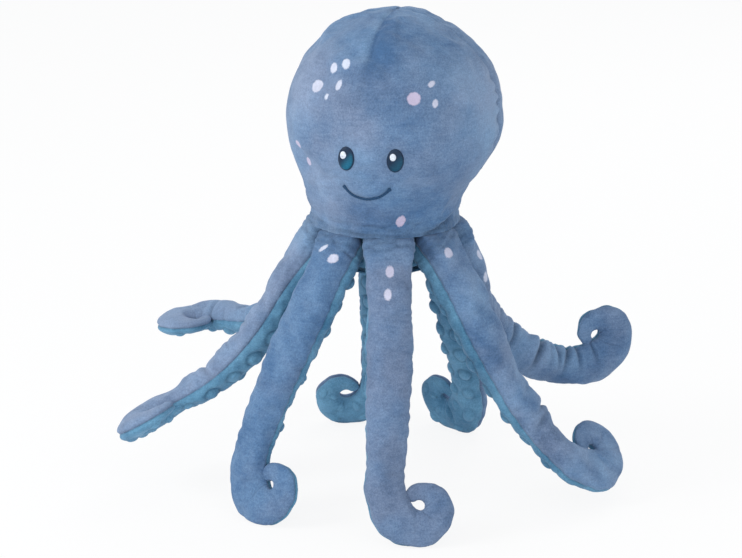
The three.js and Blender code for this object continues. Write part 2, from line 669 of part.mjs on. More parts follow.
place("battery_case", batteryCase(), CASE_PLASTIC);
place("battery_door", batteryDoor(), CASE_PLASTIC);
place("door_screw", doorScrew(), STEEL);
place("diffuser", diffuser(), DIFFUSER_PLASTIC);
place("circuit_board", plug(BOARD_RADIUS, BOARD_LOW, BOARD_LOW + BOARD_THICKNESS), BOARD_LAMINATE);
for (let i = 0; i < LED_COUNT; i++) place(`led_${i + 1}`, led(i), LED_RESIN);
for (let i = 0; i < CELL_COUNT; i++) place(`battery_${i + 1}`, cell(i, i % 2 ? -1 : 1), CELL_WRAP);
place("contact_front_pair", contact(-1, 0, 1, [0]), STEEL);
place("contact_front_single", contact(-1, 2, 2, [2]), STEEL);
place("contact_back_single", contact(1, 0, 0, []), STEEL);
place("contact_back_pair", contact(1, 1, 2, [1]), STEEL);
place("switch_body", switchBody(), CASE_PLASTIC);
place("push_button", pushButton(), BUTTON_PLASTIC);
place("button_spring", buttonSpring(), STEEL);

// Centre the box on the Z axis.
octopus.updateMatrixWorld(true);
const middle = new THREE.Box3().setFromObject(octopus, true).getCenter(new THREE.Vector3());
body.position.x = -middle.x;
body.position.y = -middle.y;

export default octopus;
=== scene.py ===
import json
import math

import bpy
import numpy as np
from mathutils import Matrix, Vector

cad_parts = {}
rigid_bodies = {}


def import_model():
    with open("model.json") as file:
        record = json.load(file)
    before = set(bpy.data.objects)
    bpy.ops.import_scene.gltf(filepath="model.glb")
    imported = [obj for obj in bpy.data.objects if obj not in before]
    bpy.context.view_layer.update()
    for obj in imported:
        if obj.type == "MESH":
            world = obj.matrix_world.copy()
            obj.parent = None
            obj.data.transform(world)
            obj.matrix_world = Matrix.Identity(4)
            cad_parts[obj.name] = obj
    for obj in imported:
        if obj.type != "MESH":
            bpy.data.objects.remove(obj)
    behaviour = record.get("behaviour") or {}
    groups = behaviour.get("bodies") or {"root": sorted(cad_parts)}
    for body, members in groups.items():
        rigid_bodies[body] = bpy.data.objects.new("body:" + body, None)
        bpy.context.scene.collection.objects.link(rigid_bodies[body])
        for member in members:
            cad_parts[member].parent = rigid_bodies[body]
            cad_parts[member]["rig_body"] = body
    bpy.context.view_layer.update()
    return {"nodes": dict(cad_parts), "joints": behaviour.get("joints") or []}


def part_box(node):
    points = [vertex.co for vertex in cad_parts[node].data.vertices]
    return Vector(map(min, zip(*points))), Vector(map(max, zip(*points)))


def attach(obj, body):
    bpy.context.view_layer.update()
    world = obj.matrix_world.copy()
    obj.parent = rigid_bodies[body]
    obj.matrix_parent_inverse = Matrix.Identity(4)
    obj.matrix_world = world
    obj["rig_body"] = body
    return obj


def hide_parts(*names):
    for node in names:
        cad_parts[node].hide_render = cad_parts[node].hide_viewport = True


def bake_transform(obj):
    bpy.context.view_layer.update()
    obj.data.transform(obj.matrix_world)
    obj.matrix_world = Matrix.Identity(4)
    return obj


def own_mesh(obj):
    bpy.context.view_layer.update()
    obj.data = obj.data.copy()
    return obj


MM = 0.001
UP = np.array([0, 0, 1.0])
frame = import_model()


def box_mm(node):
    low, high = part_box(node)
    return np.array(low) / MM, np.array(high) / MM


def joint(name):
    return next(row for row in frame["joints"] if row["name"] == name)


# Where the body stands: its upright axis and its neck seam, and the gap between sewn pieces.
light_low, light_high = box_mm("diffuser")
AXIS = (light_low + light_high)[:2] / 2
SEAM_Z = box_mm("head_cover")[0][2]
SEWN_GAP = 0.3

# Head, above the neck seam.
NECK_RADIUS = 60.5
NECK_RISE = 34
JAW_SHARE = 0.13
CHEEK_RADIUS = 88.5
CHEEK_HEIGHT = 86
JAW_DROP = 34
CROWN_HEIGHT = 178
HEAD_LEAN = 8
COVER_THICKNESS = 3

# Embroidered face, as seen from straight in front.
EYE_WIDTH = 13.4
EYE_HEIGHT = 21
EYE_SPACING = 40
EYE_ASIDE = 4
EYE_RISE = 71
GLINT_WIDTH = 4.8
GLINT_HEIGHT = 6.2
GLINT_ASIDE = -1.8
GLINT_UP = 3.8
MOUTH_WIDTH = 39
MOUTH_ASIDE = 1
MOUTH_SAG = 11
MOUTH_RISE = 46
MOUTH_LINE = 2.2

# Arms.
ROOT_WIDTH = 37
ROOT_DEPTH = 31
FULL_WIDTH = 39.5
FULL_AT = 80
WRIST_WIDTH = 32
TIP_WIDTH = 12
FLATNESS = 0.76
SHAFT_LENGTH = 178
CURL_LENGTH = 118
CURL_TURN = 315
CURL_TIGHTENING = 1.8
CURL_TAPER = 2.2
STEPS_PER_BEND = 3
CURL_STEPS = 10
SUCKER_FROM = 22
SUCKER_PITCH = 22.5
SUCKER_RADIUS = 7.2
SUCKER_PUFF = 3.3
SUCKER_SPREAD = 0.56

# How each arm was left lying, in degrees: its droop below level at the root, the pull on its cloth, and how
# much each third of its shaft lifts towards its back, sways towards its curl and twists. The first arm sets
# how high the body stands, and the other standing arms droop on until their feet are down as well.
ARM_SETS = [
    {"droop": 51, "bends": [(-17, 0, 0), (0, -3, 0), (2, -2, 0)]},
    {"droop": 50.5, "stretch": 1.12, "bends": [(-12, 4, 0), (0, 6, 0), (16, 6, 8)]},
    {"droop": 60, "bends": [(-12, 0, 20), (26, 20, 50), (8, 28, 20)]},
    {"droop": 52, "bends": [(-18, 4, 0), (-2, 2, 0), (0, 0, 0)]},
    {"droop": 50, "bends": [(-18, 0, 0), (-2, 0, 0), (0, 0, 0)]},
    {"droop": 54, "bends": [(-10, 0, 0), (37, 0, 0), (20, 0, 0)]},
    {"droop": 50, "stretch": 1.03, "bends": [(-12, 0, 14), (14, 0, 0), (18, 0, 0)]},
    {"droop": 51, "bends": [(-16, -8, -8), (0, 1, -8), (0, 6, 0)]},
]
STANDING = (3, 4, 7)


def lerp(low, high, share):
    return low + (high - low) * share


def smoothstep(x, low, high):
    share = np.clip((x - low) / (high - low), 0, 1)
    return share * share * (3 - 2 * share)


def bell(x, width):
    return np.exp(-((x / width) ** 2))


def unit(v):
    return v / np.linalg.norm(v, axis=-1, keepdims=True)


# The angle from one turn to another, the short way round.
def turned_from(turn, start):
    return np.angle(np.exp(1j * (turn - start)))


# The length run so far along rows of points.
def run_along(x, y):
    steps = np.hypot(np.diff(x, axis=-1, prepend=x[..., :1]), np.diff(y, axis=-1, prepend=y[..., :1]))
    return np.cumsum(steps, axis=-1)


# A smooth random field over space, between about -1 and 1, whose lumps are about size across.
def waves(points, size, seed, count=14):
    chance = np.random.default_rng(seed)
    heading = unit(chance.normal(size=(count, 3)))
    pace = chance.uniform(0.6, 1.5, count) * math.pi / size
    start = chance.uniform(0, 2 * math.pi, count)
    turns = points @ (heading * pace[:, None]).T + start
    return np.sin(turns).sum(-1) * math.sqrt(2 / count) / 1.6


# Several such fields in one, from rows of strength, size and seed.
def lumps(points, rows):
    return sum(strength * waves(points, size, seed) for strength, size, seed in rows)


# A crease at a distance from its line: a groove less the soft lips beside it.
def groove(line, width, lip, lip_at, lip_width):
    return bell(line, width) - lip * bell(np.abs(line) - lip_at, lip_width)


# How far outside an oval a place is, given from the oval's middle.
def outside_oval(x, z, width, height):
    return (np.hypot(x / (width / 2), z / (height / 2)) - 1) * math.sqrt(width * height) / 2


# Meshes.
def linked(name, data):
    obj = bpy.data.objects.new(name, data)
    bpy.context.scene.collection.objects.link(obj)
    return obj


def vertex_values(mesh, key):
    values = np.zeros(len(mesh.vertices) * 3)
    mesh.vertices.foreach_get(key, values)
    return values.reshape(-1, 3)


# A piece in place of a node of the model.
def piece(name, node, points, faces, body, slot, look, marks=None, sharp=50):
    mesh = bpy.data.meshes.new(name)
    mesh.from_pydata((np.asarray(points) * MM).tolist(), [], faces)
    for mark, values in (marks or {}).items():
        mesh.attributes.new(mark, "FLOAT", "POINT").data.foreach_set("value", np.asarray(values, np.float32))
    mesh.shade_smooth()
    mesh.set_sharp_from_angle(angle=math.radians(sharp))
    mesh.materials.append(look)
    obj = linked(name, mesh)
    if body:
        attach(obj, body)
    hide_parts(node)
    return obj


# A closed body from rows of rings, from its first pole to its last. The rings turn to the left about
# their heading.
def lofted(rings):
    rows, count = rings.shape[:2]
    points = np.concatenate([rings.reshape(-1, 3), [rings[0].mean(0), rings[-1].mean(0)]])
    first, last, top = rows * count, rows * count + 1, (rows - 1) * count
    faces = []
    for low in range(0, top, count):
        for i in range(count):
            after = (i + 1) % count
            faces.append((low + i, low + after, low + count + after, low + count + i))
    for i in range(count):
        after = (i + 1) % count
        faces.append((first, after, i))
        faces.append((last, top + i, top + after))
    return points, faces


def with_poles(marks):
    return {key: np.append(rows, [rows[0].mean(), rows[-1].mean()]) for key, rows in marks.items()}


# How far stuffing and sewing move cloth, in millimetres along its normals. Each shell is a tube of points,
# its normals and where its seams hold it. Coarse copies are joined into one cloth, let out a little, filled
# and left to settle, and what they move is smoothed back onto the fine points.
COARSE = 3
LET_OUT = 0.05
FILLING = 4.0
SETTLING_FRAMES = 16
SMOOTHINGS = 3
MEAN_TAKEN_OFF = 0.9
ARM_MOST_MOVED = 1.9
HEAD_MOST_MOVED = 1.3


def draft_cloth(points, faces, held):
    mesh = bpy.data.meshes.new("draft_cloth")
    mesh.from_pydata((points * MM).tolist(), [], faces)
    draft = linked("draft_cloth", mesh)
    draft.vertex_groups.new(name="held").add([int(i) for i in np.nonzero(held)[0]], 1.0, "REPLACE")
    cloth = draft.modifiers.new("cloth", "CLOTH")
    cloth.settings.quality = 4
    cloth.settings.use_pressure = True
    cloth.settings.uniform_pressure_force = FILLING
    cloth.settings.shrink_min = -LET_OUT
    cloth.settings.vertex_group_mass = "held"
    cloth.settings.effector_weights.gravity = 0
    cloth.point_cache.frame_start = 1
    cloth.point_cache.frame_end = SETTLING_FRAMES
    return draft


def settled_points(draft):
    for number in range(1, SETTLING_FRAMES + 1):
        bpy.context.scene.frame_set(number)
    points = vertex_values(draft.evaluated_get(bpy.context.evaluated_depsgraph_get()).data, "co") / MM
    bpy.data.objects.remove(draft)
    bpy.context.scene.frame_set(1)
    return points


# Values at the coarse points of a tube, spread smoothly over all its rows and all round it.
def spread_over(coarse, rows, length, around):
    wrapped = np.concatenate([coarse, coarse[:, :1]], 1)
    stops = np.append(np.arange(0, around, COARSE), around)
    wide = np.stack([np.interp(np.arange(around), stops, row) for row in wrapped])
    field = np.stack([np.interp(np.arange(length), rows, column) for column in wide.T], 1)
    for _ in range(SMOOTHINGS):
        field = (np.roll(field, 1, 1) + 2 * field + np.roll(field, -1, 1)) / 4
        padded = np.concatenate([field[:1], field, field[-1:]])
        field = (padded[:-2] + 2 * field + padded[2:]) / 4
    return field


def settled(shells, most_moved):
    points, faces, held, parts = [], [], [], []
    start = 0
    for shell, _, hold in shells:
        rows = np.unique(np.append(np.arange(0, len(shell), COARSE), len(shell) - 1))
        coarse = shell[rows][:, ::COARSE]
        block, block_faces = lofted(coarse)
        points.append(block)
        faces += [tuple(start + i for i in face) for face in block_faces]
        held.append(np.append(hold[rows][:, ::COARSE].ravel(), [True, True]))
        parts.append((rows, coarse.shape, start))
        start += len(block)
    points = np.concatenate(points)
    moved = settled_points(draft_cloth(points, faces, np.concatenate(held))) - points
    fields = []
    for (shell, normals, _), (rows, shape, start), most in zip(shells, parts, most_moved):
        block = moved[start:start + shape[0] * shape[1]].reshape(shape)
        outward = (block * normals[rows][:, ::COARSE]).sum(-1)
        outward = np.clip(outward - MEAN_TAKEN_OFF * outward.mean(), -most, most)
        fields.append(spread_over(outward, rows, *shell.shape[:2]))
    return fields


# Nodes of a material or of the world.
class Nodes:
    def __init__(self, tree):
        self.tree = tree

    def feed(self, socket, value):
        if isinstance(value, bpy.types.NodeSocket):
            self.tree.links.new(value, socket)
        else:
            socket.default_value = value

    def node(self, kind, **inputs):
        made = self.tree.nodes.new(kind)
        for key, value in inputs.items():
            self.feed(made.inputs[key], value)
        return made

    def maths(self, operation, a, b=0.0):
        made = self.node("ShaderNodeMath")
        made.operation = operation
        self.feed(made.inputs[0], a)
        self.feed(made.inputs[1], b)
        return made.outputs[0]

    def ray(self, kind):
        return self.node("ShaderNodeLightPath").outputs[f"Is {kind} Ray"]

    def mixed_shaders(self, share, a, b):
        made = self.node("ShaderNodeMixShader", Fac=share)
        self.feed(made.inputs[1], a.outputs[0])
        self.feed(made.inputs[2], b.outputs[0])
        return made.outputs[0]


# A material that is built up from its place on the object. Sizes are in millimetres.
class Look(Nodes):
    def __init__(self, name):
        self.material = bpy.data.materials.new(name)
        self.material.use_nodes = True
        super().__init__(self.material.node_tree)
        self.shader = self.tree.nodes["Principled BSDF"]
        self.place = self.node("ShaderNodeTexCoord").outputs["Object"]

    def parts(self):
        return self.node("ShaderNodeSeparateXYZ", Vector=self.place).outputs

    def noise(self, size, detail=3, rough=0.5, stretch=None):
        place = self.place
        if stretch:
            place = self.node("ShaderNodeMapping", Vector=place, Scale=stretch).outputs["Vector"]
        scale = 1 / (size * MM)
        made = self.node("ShaderNodeTexNoise", Vector=place, Scale=scale, Detail=detail, Roughness=rough)
        return made.outputs["Fac"]

    def mark(self, name):
        made = self.node("ShaderNodeAttribute")
        made.attribute_name = name
        return made.outputs["Fac"]

    def add(self, a, b):
        return self.maths("ADD", a, b)

    def times(self, a, b):
        return self.maths("MULTIPLY", a, b)

    def stripes(self, value, pitch):
        return self.maths("SINE", self.times(value, 2 * math.pi / (pitch * MM)))

    def between(self, value, low, high, to_low=0.0, to_high=1.0):
        limits = {"From Min": low, "From Max": high, "To Min": to_low, "To Max": to_high}
        return self.node("ShaderNodeMapRange", Value=value, **limits).outputs["Result"]

    # The middle of a noise's range, spread from low to high.
    def grain(self, noise, low, high):
        return self.between(noise, 0.3, 0.7, low, high)

    def blend(self, share, a, b, how="MIX"):
        made = self.node("ShaderNodeMix")
        made.data_type = "RGBA"
        made.blend_type = how
        self.feed(made.inputs[0], share)
        self.feed(made.inputs[6], a)
        self.feed(made.inputs[7], b)
        return made.outputs[2]

    def shaded(self, colour, shade):
        return self.blend(1.0, colour, shade, "MULTIPLY")

    def bump(self, height, strength, depth):
        made = self.node("ShaderNodeBump", Height=height, Strength=strength, Distance=depth * MM)
        if self.shader.inputs["Normal"].is_linked:
            self.feed(made.inputs["Normal"], self.shader.inputs["Normal"].links[0].from_socket)
        self.feed(self.shader.inputs["Normal"], made.outputs["Normal"])

    def set(self, **values):
        for key, value in values.items():
            self.feed(self.shader.inputs[key.replace("_", " ")], value)


def rgb(*colour):
    shares = [c / 255 for c in colour]
    return (*(c / 12.92 if c <= 0.04 else ((c + 0.055) / 1.055) ** 2.4 for c in shares), 1.0)


# Short pile cloth. Marks on the mesh say how light or dark the pile is, partly from its own lay and partly as
# painted light and shade, and how much painted shade lies in a crease or a seam. Cloth that comes in two
# blues is printed too, and has marks for how blue it is, its spots and how pink they are.
def plush(name, light, dark, light_blue=None, dark_blue=None):
    look = Look(name)
    if light_blue:
        hue = look.add(look.mark("hue"), look.between(look.noise(30), 0.35, 0.65, -0.25, 0.25))
        light = look.blend(hue, light, light_blue)
        dark = look.blend(hue, dark, dark_blue)
    brushed = look.noise(8, 5, 0.68)
    wisps = look.noise(2.6, 4, 0.7)
    strokes = look.noise(5, 3, 0.6, stretch=(0.5, 0.5, 2.2))
    # The lay mark lightens or darkens the pile, partly for its own lay and partly as painted light and shade.
    value = look.add(look.times(look.mark("lay"), 0.5), 0.5)
    for noise, strength in ((brushed, 0.13), (wisps, 0.1), (strokes, 0.12)):
        value = look.add(value, look.grain(noise, -strength, strength))
    speckle = look.noise(1.3, 3, 0.75)
    colour = look.shaded(look.blend(value, dark, light), look.between(speckle, 0.25, 0.75, 0.77, 1.21))
    # Painted shade darkens the colour in creases and seams.
    colour = look.shaded(colour, look.between(look.mark("crease"), 0, 1, 1.0, 0.55))
    if light_blue:
        ragged = look.grain(look.noise(1.5, 3, 0.7), -0.45, 0.45)
        inside = look.between(look.add(look.mark("spot"), ragged), 0.1, -1.0)
        pale = look.blend(look.mark("blush"), rgb(206, 213, 230), rgb(192, 182, 206))
        colour = look.blend(inside, colour, look.shaded(pale, look.grain(wisps, 0.86, 1.05)))
    look.set(Base_Color=colour, Roughness=0.92, Specular_IOR_Level=0.12)
    look.set(Sheen_Weight=0.3, Sheen_Roughness=0.5, Sheen_Tint=rgb(200, 215, 235))
    look.bump(brushed, 0.35, 1.0)
    look.bump(wisps, 0.4, 0.5)
    look.bump(speckle, 0.5, 0.3)
    return look.material


BLUE_PLUSH = plush("blue_plush", rgb(133, 150, 178), rgb(84, 104, 134), rgb(121, 152, 185), rgb(70, 104, 144))
TEAL_PLUSH = plush("teal_plush", rgb(110, 158, 188), rgb(66, 114, 147))


# Satin stitches. Their strands lie across the axis along which their noise is finest.
def thread(name, colour, second=None, lay=(1, 1, 5)):
    look = Look(name)
    strands = look.noise(2.4, 2, stretch=lay)
    if second:
        colour = look.blend(look.mark("glow"), colour, second)
    look.set(Base_Color=look.shaded(colour, look.grain(strands, 0.75, 1.2)), Roughness=0.5)
    look.set(Sheen_Weight=0.06, Sheen_Roughness=0.3, Specular_IOR_Level=0.25)
    look.bump(strands, 0.7, 0.3)
    return look.material


NAVY_THREAD = thread("navy_thread", rgb(16, 40, 66), rgb(20, 104, 134))
WHITE_THREAD = thread("white_thread", rgb(220, 227, 238))
MOUTH_THREAD = thread("mouth_thread", rgb(30, 66, 100), lay=(5, 1, 1))


# Stuffing, woven cloth and fastening tape.
def fibre():
    look = Look("fibre")
    tuft = look.noise(5, 6, 0.75, stretch=(1, 1, 2.5))
    look.set(Base_Color=look.blend(tuft, rgb(222, 222, 218), rgb(250, 250, 247)), Roughness=1.0)
    look.set(Sheen_Weight=0.5, Sheen_Roughness=0.6)
    look.bump(tuft, 0.8, 3.0)
    return look.material


def woven(name, light, dark, pitch):
    look = Look(name)
    x, y, z = (look.stripes(part, pitch) for part in look.parts())
    weave = look.add(look.times(x, z), look.times(y, z))
    worn = look.add(look.between(weave, -1, 1, 0.25, 0.75), look.between(look.noise(6), 0, 1, -0.2, 0.2))
    look.set(Base_Color=look.blend(worn, dark, light), Roughness=0.85)
    look.set(Sheen_Weight=0.2, Sheen_Roughness=0.5)
    look.bump(weave, 0.5, 0.2)
    return look.material


def tape(name, light, dark, size):
    look = Look(name)
    loops = look.noise(size, 3, 0.8)
    look.set(Base_Color=look.blend(look.grain(loops, 0, 1), dark, light), Roughness=0.75)
    look.set(Sheen_Weight=0.3, Sheen_Roughness=0.4)
    look.bump(loops, 1.0, size / 2)
    return look.material


# Light unit.
def moulded(name, colour, roughness, fineness=0.5):
    look = Look(name)
    cloud = look.noise(14)
    look.set(Base_Color=look.shaded(colour, look.grain(cloud, 0.95, 1.03)))
    look.set(Roughness=look.grain(cloud, roughness - 0.06, roughness + 0.06))
    look.bump(look.noise(fineness, 2, 0.6), 0.15, 0.08)
    return look


def diffuser_look():
    look = moulded("diffuser_plastic", rgb(250, 246, 232), 0.4, 0.7)
    look.set(Subsurface_Weight=0.35, Subsurface_Scale=0.004, Coat_Weight=0.1)
    return look.material


def metal(name):
    look = Look(name)
    brushed = look.noise(1.2, 3, 0.6, stretch=(1, 1, 6))
    look.set(Base_Color=look.blend(brushed, rgb(172, 174, 178), rgb(206, 208, 211)), Metallic=1.0)
    look.set(Roughness=look.grain(brushed, 0.24, 0.4))
    look.bump(brushed, 0.12, 0.05)
    return look.material


# Green board with straight tracks that step aside now and then.
TRACK_PITCH = 3.2
TRACK_JOG = 7


def laminate():
    look = Look("board_laminate")
    x, y, _ = look.parts()
    jogs = look.times(look.maths("SNAP", y, TRACK_JOG * MM), 0.2)
    track = look.stripes(look.add(x, jogs), TRACK_PITCH)
    green = look.blend(look.between(track, 0.55, 0.75), rgb(30, 92, 54), rgb(52, 128, 74))
    look.set(Base_Color=green, Roughness=0.4, Coat_Weight=0.4)
    look.bump(track, 0.2, 0.05)
    return look.material


def resin():
    look = Look("led_resin")
    look.set(Base_Color=look.blend(look.noise(2, 2), rgb(255, 236, 170), rgb(255, 248, 214)))
    look.set(Roughness=0.12, Transmission_Weight=0.45)
    return look.material


# A cell's wrap, with a band towards each end, between bare ends. Both begin a way from its middle.
CELL_BAND = 15
CELL_BARE = 21


def cell_wrap():
    look = Look("cell_wrap")
    along = look.maths("ABSOLUTE", look.maths("SUBTRACT", look.parts()[1], AXIS[1] * MM))
    band = look.between(along, CELL_BAND * MM, (CELL_BAND + 0.2) * MM)
    bare = look.between(along, CELL_BARE * MM, (CELL_BARE + 0.1) * MM)
    scuffs = look.noise(3, 4, 0.6, stretch=(1, 0.3, 1))
    wrap = look.shaded(look.blend(band, rgb(40, 104, 76), rgb(196, 168, 96)), look.grain(scuffs, 0.9, 1.05))
    look.set(Base_Color=look.blend(bare, wrap, rgb(196, 198, 201)), Metallic=bare)
    look.set(Roughness=look.grain(scuffs, 0.25, 0.4))
    return look.material


# The head's outline as points a small step apart, [distance from the axis, height], from the neck seam up.
def head_outline(step):
    share = np.linspace(0, 1, 200)[:, None]
    rest = 1 - share
    jaw = lerp(NECK_RADIUS, CHEEK_RADIUS, JAW_SHARE)
    radii = (NECK_RADIUS, jaw, CHEEK_RADIUS, CHEEK_RADIUS)
    heights = (0, NECK_RISE, CHEEK_HEIGHT - JAW_DROP, CHEEK_HEIGHT)
    weights = (rest**3, 3 * rest**2 * share, 3 * rest * share**2, share**3)
    rise = sum(weight * np.array(point) for weight, *point in zip(weights, radii, heights))
    turn = share * math.pi / 2
    dome_height = CROWN_HEIGHT - CHEEK_HEIGHT
    dome = np.concatenate([CHEEK_RADIUS * np.cos(turn), CHEEK_HEIGHT + dome_height * np.sin(turn)], 1)
    line = np.concatenate([rise, dome[1:]])
    run = run_along(line[:, 0], line[:, 1])
    at = np.linspace(0, run[-1], int(run[-1] / step))
    return np.stack([np.interp(at, run, line[:, i]) for i in (0, 1)], 1)


HEAD_LINE = head_outline(0.5)
HEAD_SLOPE = unit(np.gradient(HEAD_LINE, axis=0))
HEAD_INDEX = np.arange(len(HEAD_LINE))
HEAD_ROW_STEP = 1.5
HEAD_AROUND = 360
SIDE_SEAMS = (math.pi / 2, -math.pi / 2)
# Where the seam over the crown ends in a dart, in front and behind, with how deep it is there.
DARTS = ((math.radians(-4), 1.0), (math.pi, 0.8))
DART_END = 149
NECK_GATHERS = 52
# Lines that run round the neck: height, sway and depth.
NECK_LINES = ((2.0, 0.6, 0.8), (4.8, 1.0, 0.7), (8.5, 1.6, 0.4))
NECK_CREASE_COUNT = 44
HEAD_LUMPS = ((1.0, 46, 3), (0.5, 17, 4), (0.15, 6, 5))
HEAD_PILE = ((0.34, 34, 21), (0.16, 13, 22))
SMILE_RADIUS = ((MOUTH_WIDTH / 2) ** 2 + MOUTH_SAG**2) / (2 * MOUTH_SAG)
SMILE_CENTRE = MOUTH_RISE - MOUTH_SAG + SMILE_RADIUS


# How far a place, as seen from straight in front, is outside an eye and off the line of the smile.
def eye_gap(x, z, side):
    return outside_oval(x - EYE_ASIDE - side * EYE_SPACING / 2, z - EYE_RISE, EYE_WIDTH, EYE_HEIGHT)


def smile_gap(x, z):
    return np.abs(np.hypot(x - MOUTH_ASIDE, z - SMILE_CENTRE) - SMILE_RADIUS)


# The stitches pull the cloth in round the eyes and the mouth.
def stitch_pull(turn, radius, height):
    x = radius * np.sin(turn)
    within = (height < MOUTH_RISE + 2) & (np.abs(x - MOUTH_ASIDE) < MOUTH_WIDTH / 2 + 2)
    pull = np.where(within, 0.8 * bell(smile_gap(x, height), 2.4), 0)
    for side in (-1, 1):
        pull += 0.9 * bell(eye_gap(x, height, side) - 0.6, 2.2)
    return np.where(np.cos(turn) > 0, pull, 0)


# Short creases where the cloth is gathered in at the neck: turn, height, reach to each side, depth, slant.
def neck_creases(count):
    chance = np.random.default_rng(61)
    return np.stack([
        chance.uniform(-math.pi, math.pi, count), 1 + 12 * chance.uniform(0, 1, count) ** 1.6,
        chance.uniform(5, 13, count), chance.uniform(0.35, 0.85, count), chance.uniform(-0.16, 0.16, count),
    ], 1)


NECK_CREASES = neck_creases(NECK_CREASE_COUNT)


# What the cloth does at each feature of the head: how far it stands out, and how much painted shade falls in
# its creases. First a side seam, with puckers and a bulge behind it, and painted shade in its groove and
# puckers.
def side_seam(aside, height):
    strength = smoothstep(height, 0, 20) * (1 - 0.6 * smoothstep(height, 105, 140))
    pucker = np.sin(height / 2.1 + 2 * np.sin(height / 9)) * bell(aside + 4, 9)
    bulge = smoothstep(height, 60, 90) * (1 - smoothstep(height, 120, 150))
    out = (0.45 + 0.5 * bulge) * pucker - 1.3 * bell(aside, 1.5) + 0.5 * bell(np.abs(aside) - 5, 3)
    return strength * out, strength * (0.4 * bell(aside, 1.2) + 0.3 * bulge * np.clip(-pucker, 0, 1))


# The seam over the crown, and the dart in which it ends, with painted shade in both.
def dart(aside, height):
    aside = aside + 1.2 * np.sin(height / 9)
    along = smoothstep(height, DART_END - 12, DART_END + 12)
    fold = np.tanh(-aside / 4) * np.exp(-np.abs(aside) / 16) * smoothstep(height, DART_END - 45, DART_END)
    end = bell(np.hypot(aside, (height - DART_END) * 0.7), 4)
    out = 1.9 * fold - 0.7 * along * bell(aside, 2.6) - 0.9 * end
    return out, 0.16 * along * bell(aside, 1.8) + 0.15 * end


def gathered_neck(turn, height):
    gather = np.sin(NECK_GATHERS * turn + 2.5 * np.sin(5 * turn) + 1.7 * np.sin(11 * turn))
    fading = np.exp(-height / 9)
    out = 0.25 * gather * fading + 1.4 * (1 - smoothstep(height, 0, 9))
    # Painted shade in the troughs of the gathers, in a band low on the neck under the head's rim, and in the
    # lines and creases below.
    crease = 0.1 * np.clip(-gather, 0, 1) * fading
    crease += 0.3 * (1 - smoothstep(height, 2, 12 + 3 * np.sin(4 * turn + 1)))
    for level, sway, depth in NECK_LINES:
        line = height - level - sway * np.sin(3 * turn + level) - 0.6 * np.sin(13 * turn)
        shown = depth * (0.55 + 0.45 * np.sin(2 * turn + 0.8 * level))
        out -= shown * groove(line, 1.0, 0.4, 2.3, 1.4)
        crease += 0.55 * shown * bell(line, 1.1)
    for middle, level, reach, depth, slant in NECK_CREASES:
        aside = NECK_RADIUS * turned_from(turn, middle)
        line = height - level - slant * aside
        shown = depth * bell(aside, reach)
        out -= shown * groove(line, 0.9, 0.45, 2.1, 1.2)
        crease += 0.55 * shown * bell(line, 1.0)
    return out, crease


# A fold that runs up from the neck on one side, with painted shade along it, and the hollows under both
# cheeks.
def jaw_folds(turn, height):
    degrees = np.degrees(turn)
    line = height - 4 - 0.36 * (degrees - 58)
    shown = bell(degrees - 72, 20)
    out = shown * (2.4 * bell(line - 4.5, 3.5) - 2.0 * bell(line, 2.0))
    out -= 3.0 * bell(degrees - 98, 34) * bell(height - 34, 26)
    out -= 1.6 * bell(degrees + 80 - 360 * (turn > math.pi), 40) * bell(height - 32, 24)
    return out, 0.6 * shown * bell(line, 1.8)


def head_relief(turn, radius, height, points):
    features = [side_seam(radius * turned_from(turn, seam), height) for seam in SIDE_SEAMS]
    features += [gathered_neck(turn, height), jaw_folds(turn, height)]
    for middle, depth in DARTS:
        out, crease = dart(radius * turned_from(turn, middle), height)
        features.append((depth * out, depth * crease))
    out = lumps(points, HEAD_LUMPS) + sum(feature[0] for feature in features)
    return out - stitch_pull(turn, radius, height), np.clip(sum(feature[1] for feature in features), 0, 1)


# The head's plain form at turns from the front and at places along HEAD_LINE: distance from its axis, height,
# points about its axis, and the way out of them.
def head_form(turn, place):
    radius, height = (np.interp(place, HEAD_INDEX, HEAD_LINE[:, i]) for i in (0, 1))
    inward, upward = (np.interp(place, HEAD_INDEX, HEAD_SLOPE[:, i])[..., None] for i in (0, 1))
    spin = np.stack([np.sin(turn), -np.cos(turn), np.zeros_like(turn)], -1)
    return radius, height, spin * radius[..., None] + UP * height[..., None], spin * upward - UP * inward


# The same with its relief, where it stands on the body, let out by a distance.
def head_points(turn, place, let_out=0.0):
    radius, height, points, outward = head_form(turn, place)
    relief, crease = head_relief(turn, radius, height, points)
    points = points + outward * (relief + let_out)[..., None]
    points += np.array([*AXIS, SEAM_Z])
    points[..., 0] += HEAD_LEAN * smoothstep(height, 0, CHEEK_HEIGHT)
    return points, crease


# Patches where the head is painted lighter or darker, partly for how its pile lies and partly as painted
# light and shade, such as the lamp-lit right flank and the shaded neck: turn, height, reach in degrees and in
# millimetres, and how much.
PILE_AND_LIGHT_PATCHES = [
    (-46, 130, 26, 34, 0.6), (10, 150, 30, 28, -0.95), (20, 18, 40, 20, -0.8), (80, 96, 14, 24, 1.2),
    (-62, 95, 22, 40, 0.45), (30, 112, 30, 14, -0.35), (55, 60, 24, 20, -0.2), (-8, 150, 5, 9, 0.9),
    (66, 125, 22, 26, 0.7), (-23, 168, 20, 12, -0.45), (-10, 92, 30, 16, -0.1), (40, 60, 34, 14, -0.3),
    (0, 44, 60, 26, 0.15),
]


def head_pile_and_light(turn, height, points):
    lay = lumps(points, HEAD_PILE)
    aside = np.degrees(turned_from(turn, DARTS[0][0]))
    # Painted light and shade across the fold beside the front dart: lighter on its raised side, darker on its
    # shaded side.
    lay += 0.7 * np.tanh(-aside / 1.5) * bell(aside, 16) * smoothstep(height, DART_END - 16, DART_END + 14)
    for degrees, level, wide, tall, much in PILE_AND_LIGHT_PATCHES:
        off = np.degrees(turned_from(turn, math.radians(degrees)))
        lay += much * bell(off, wide) * bell(height - level, tall)
    return lay


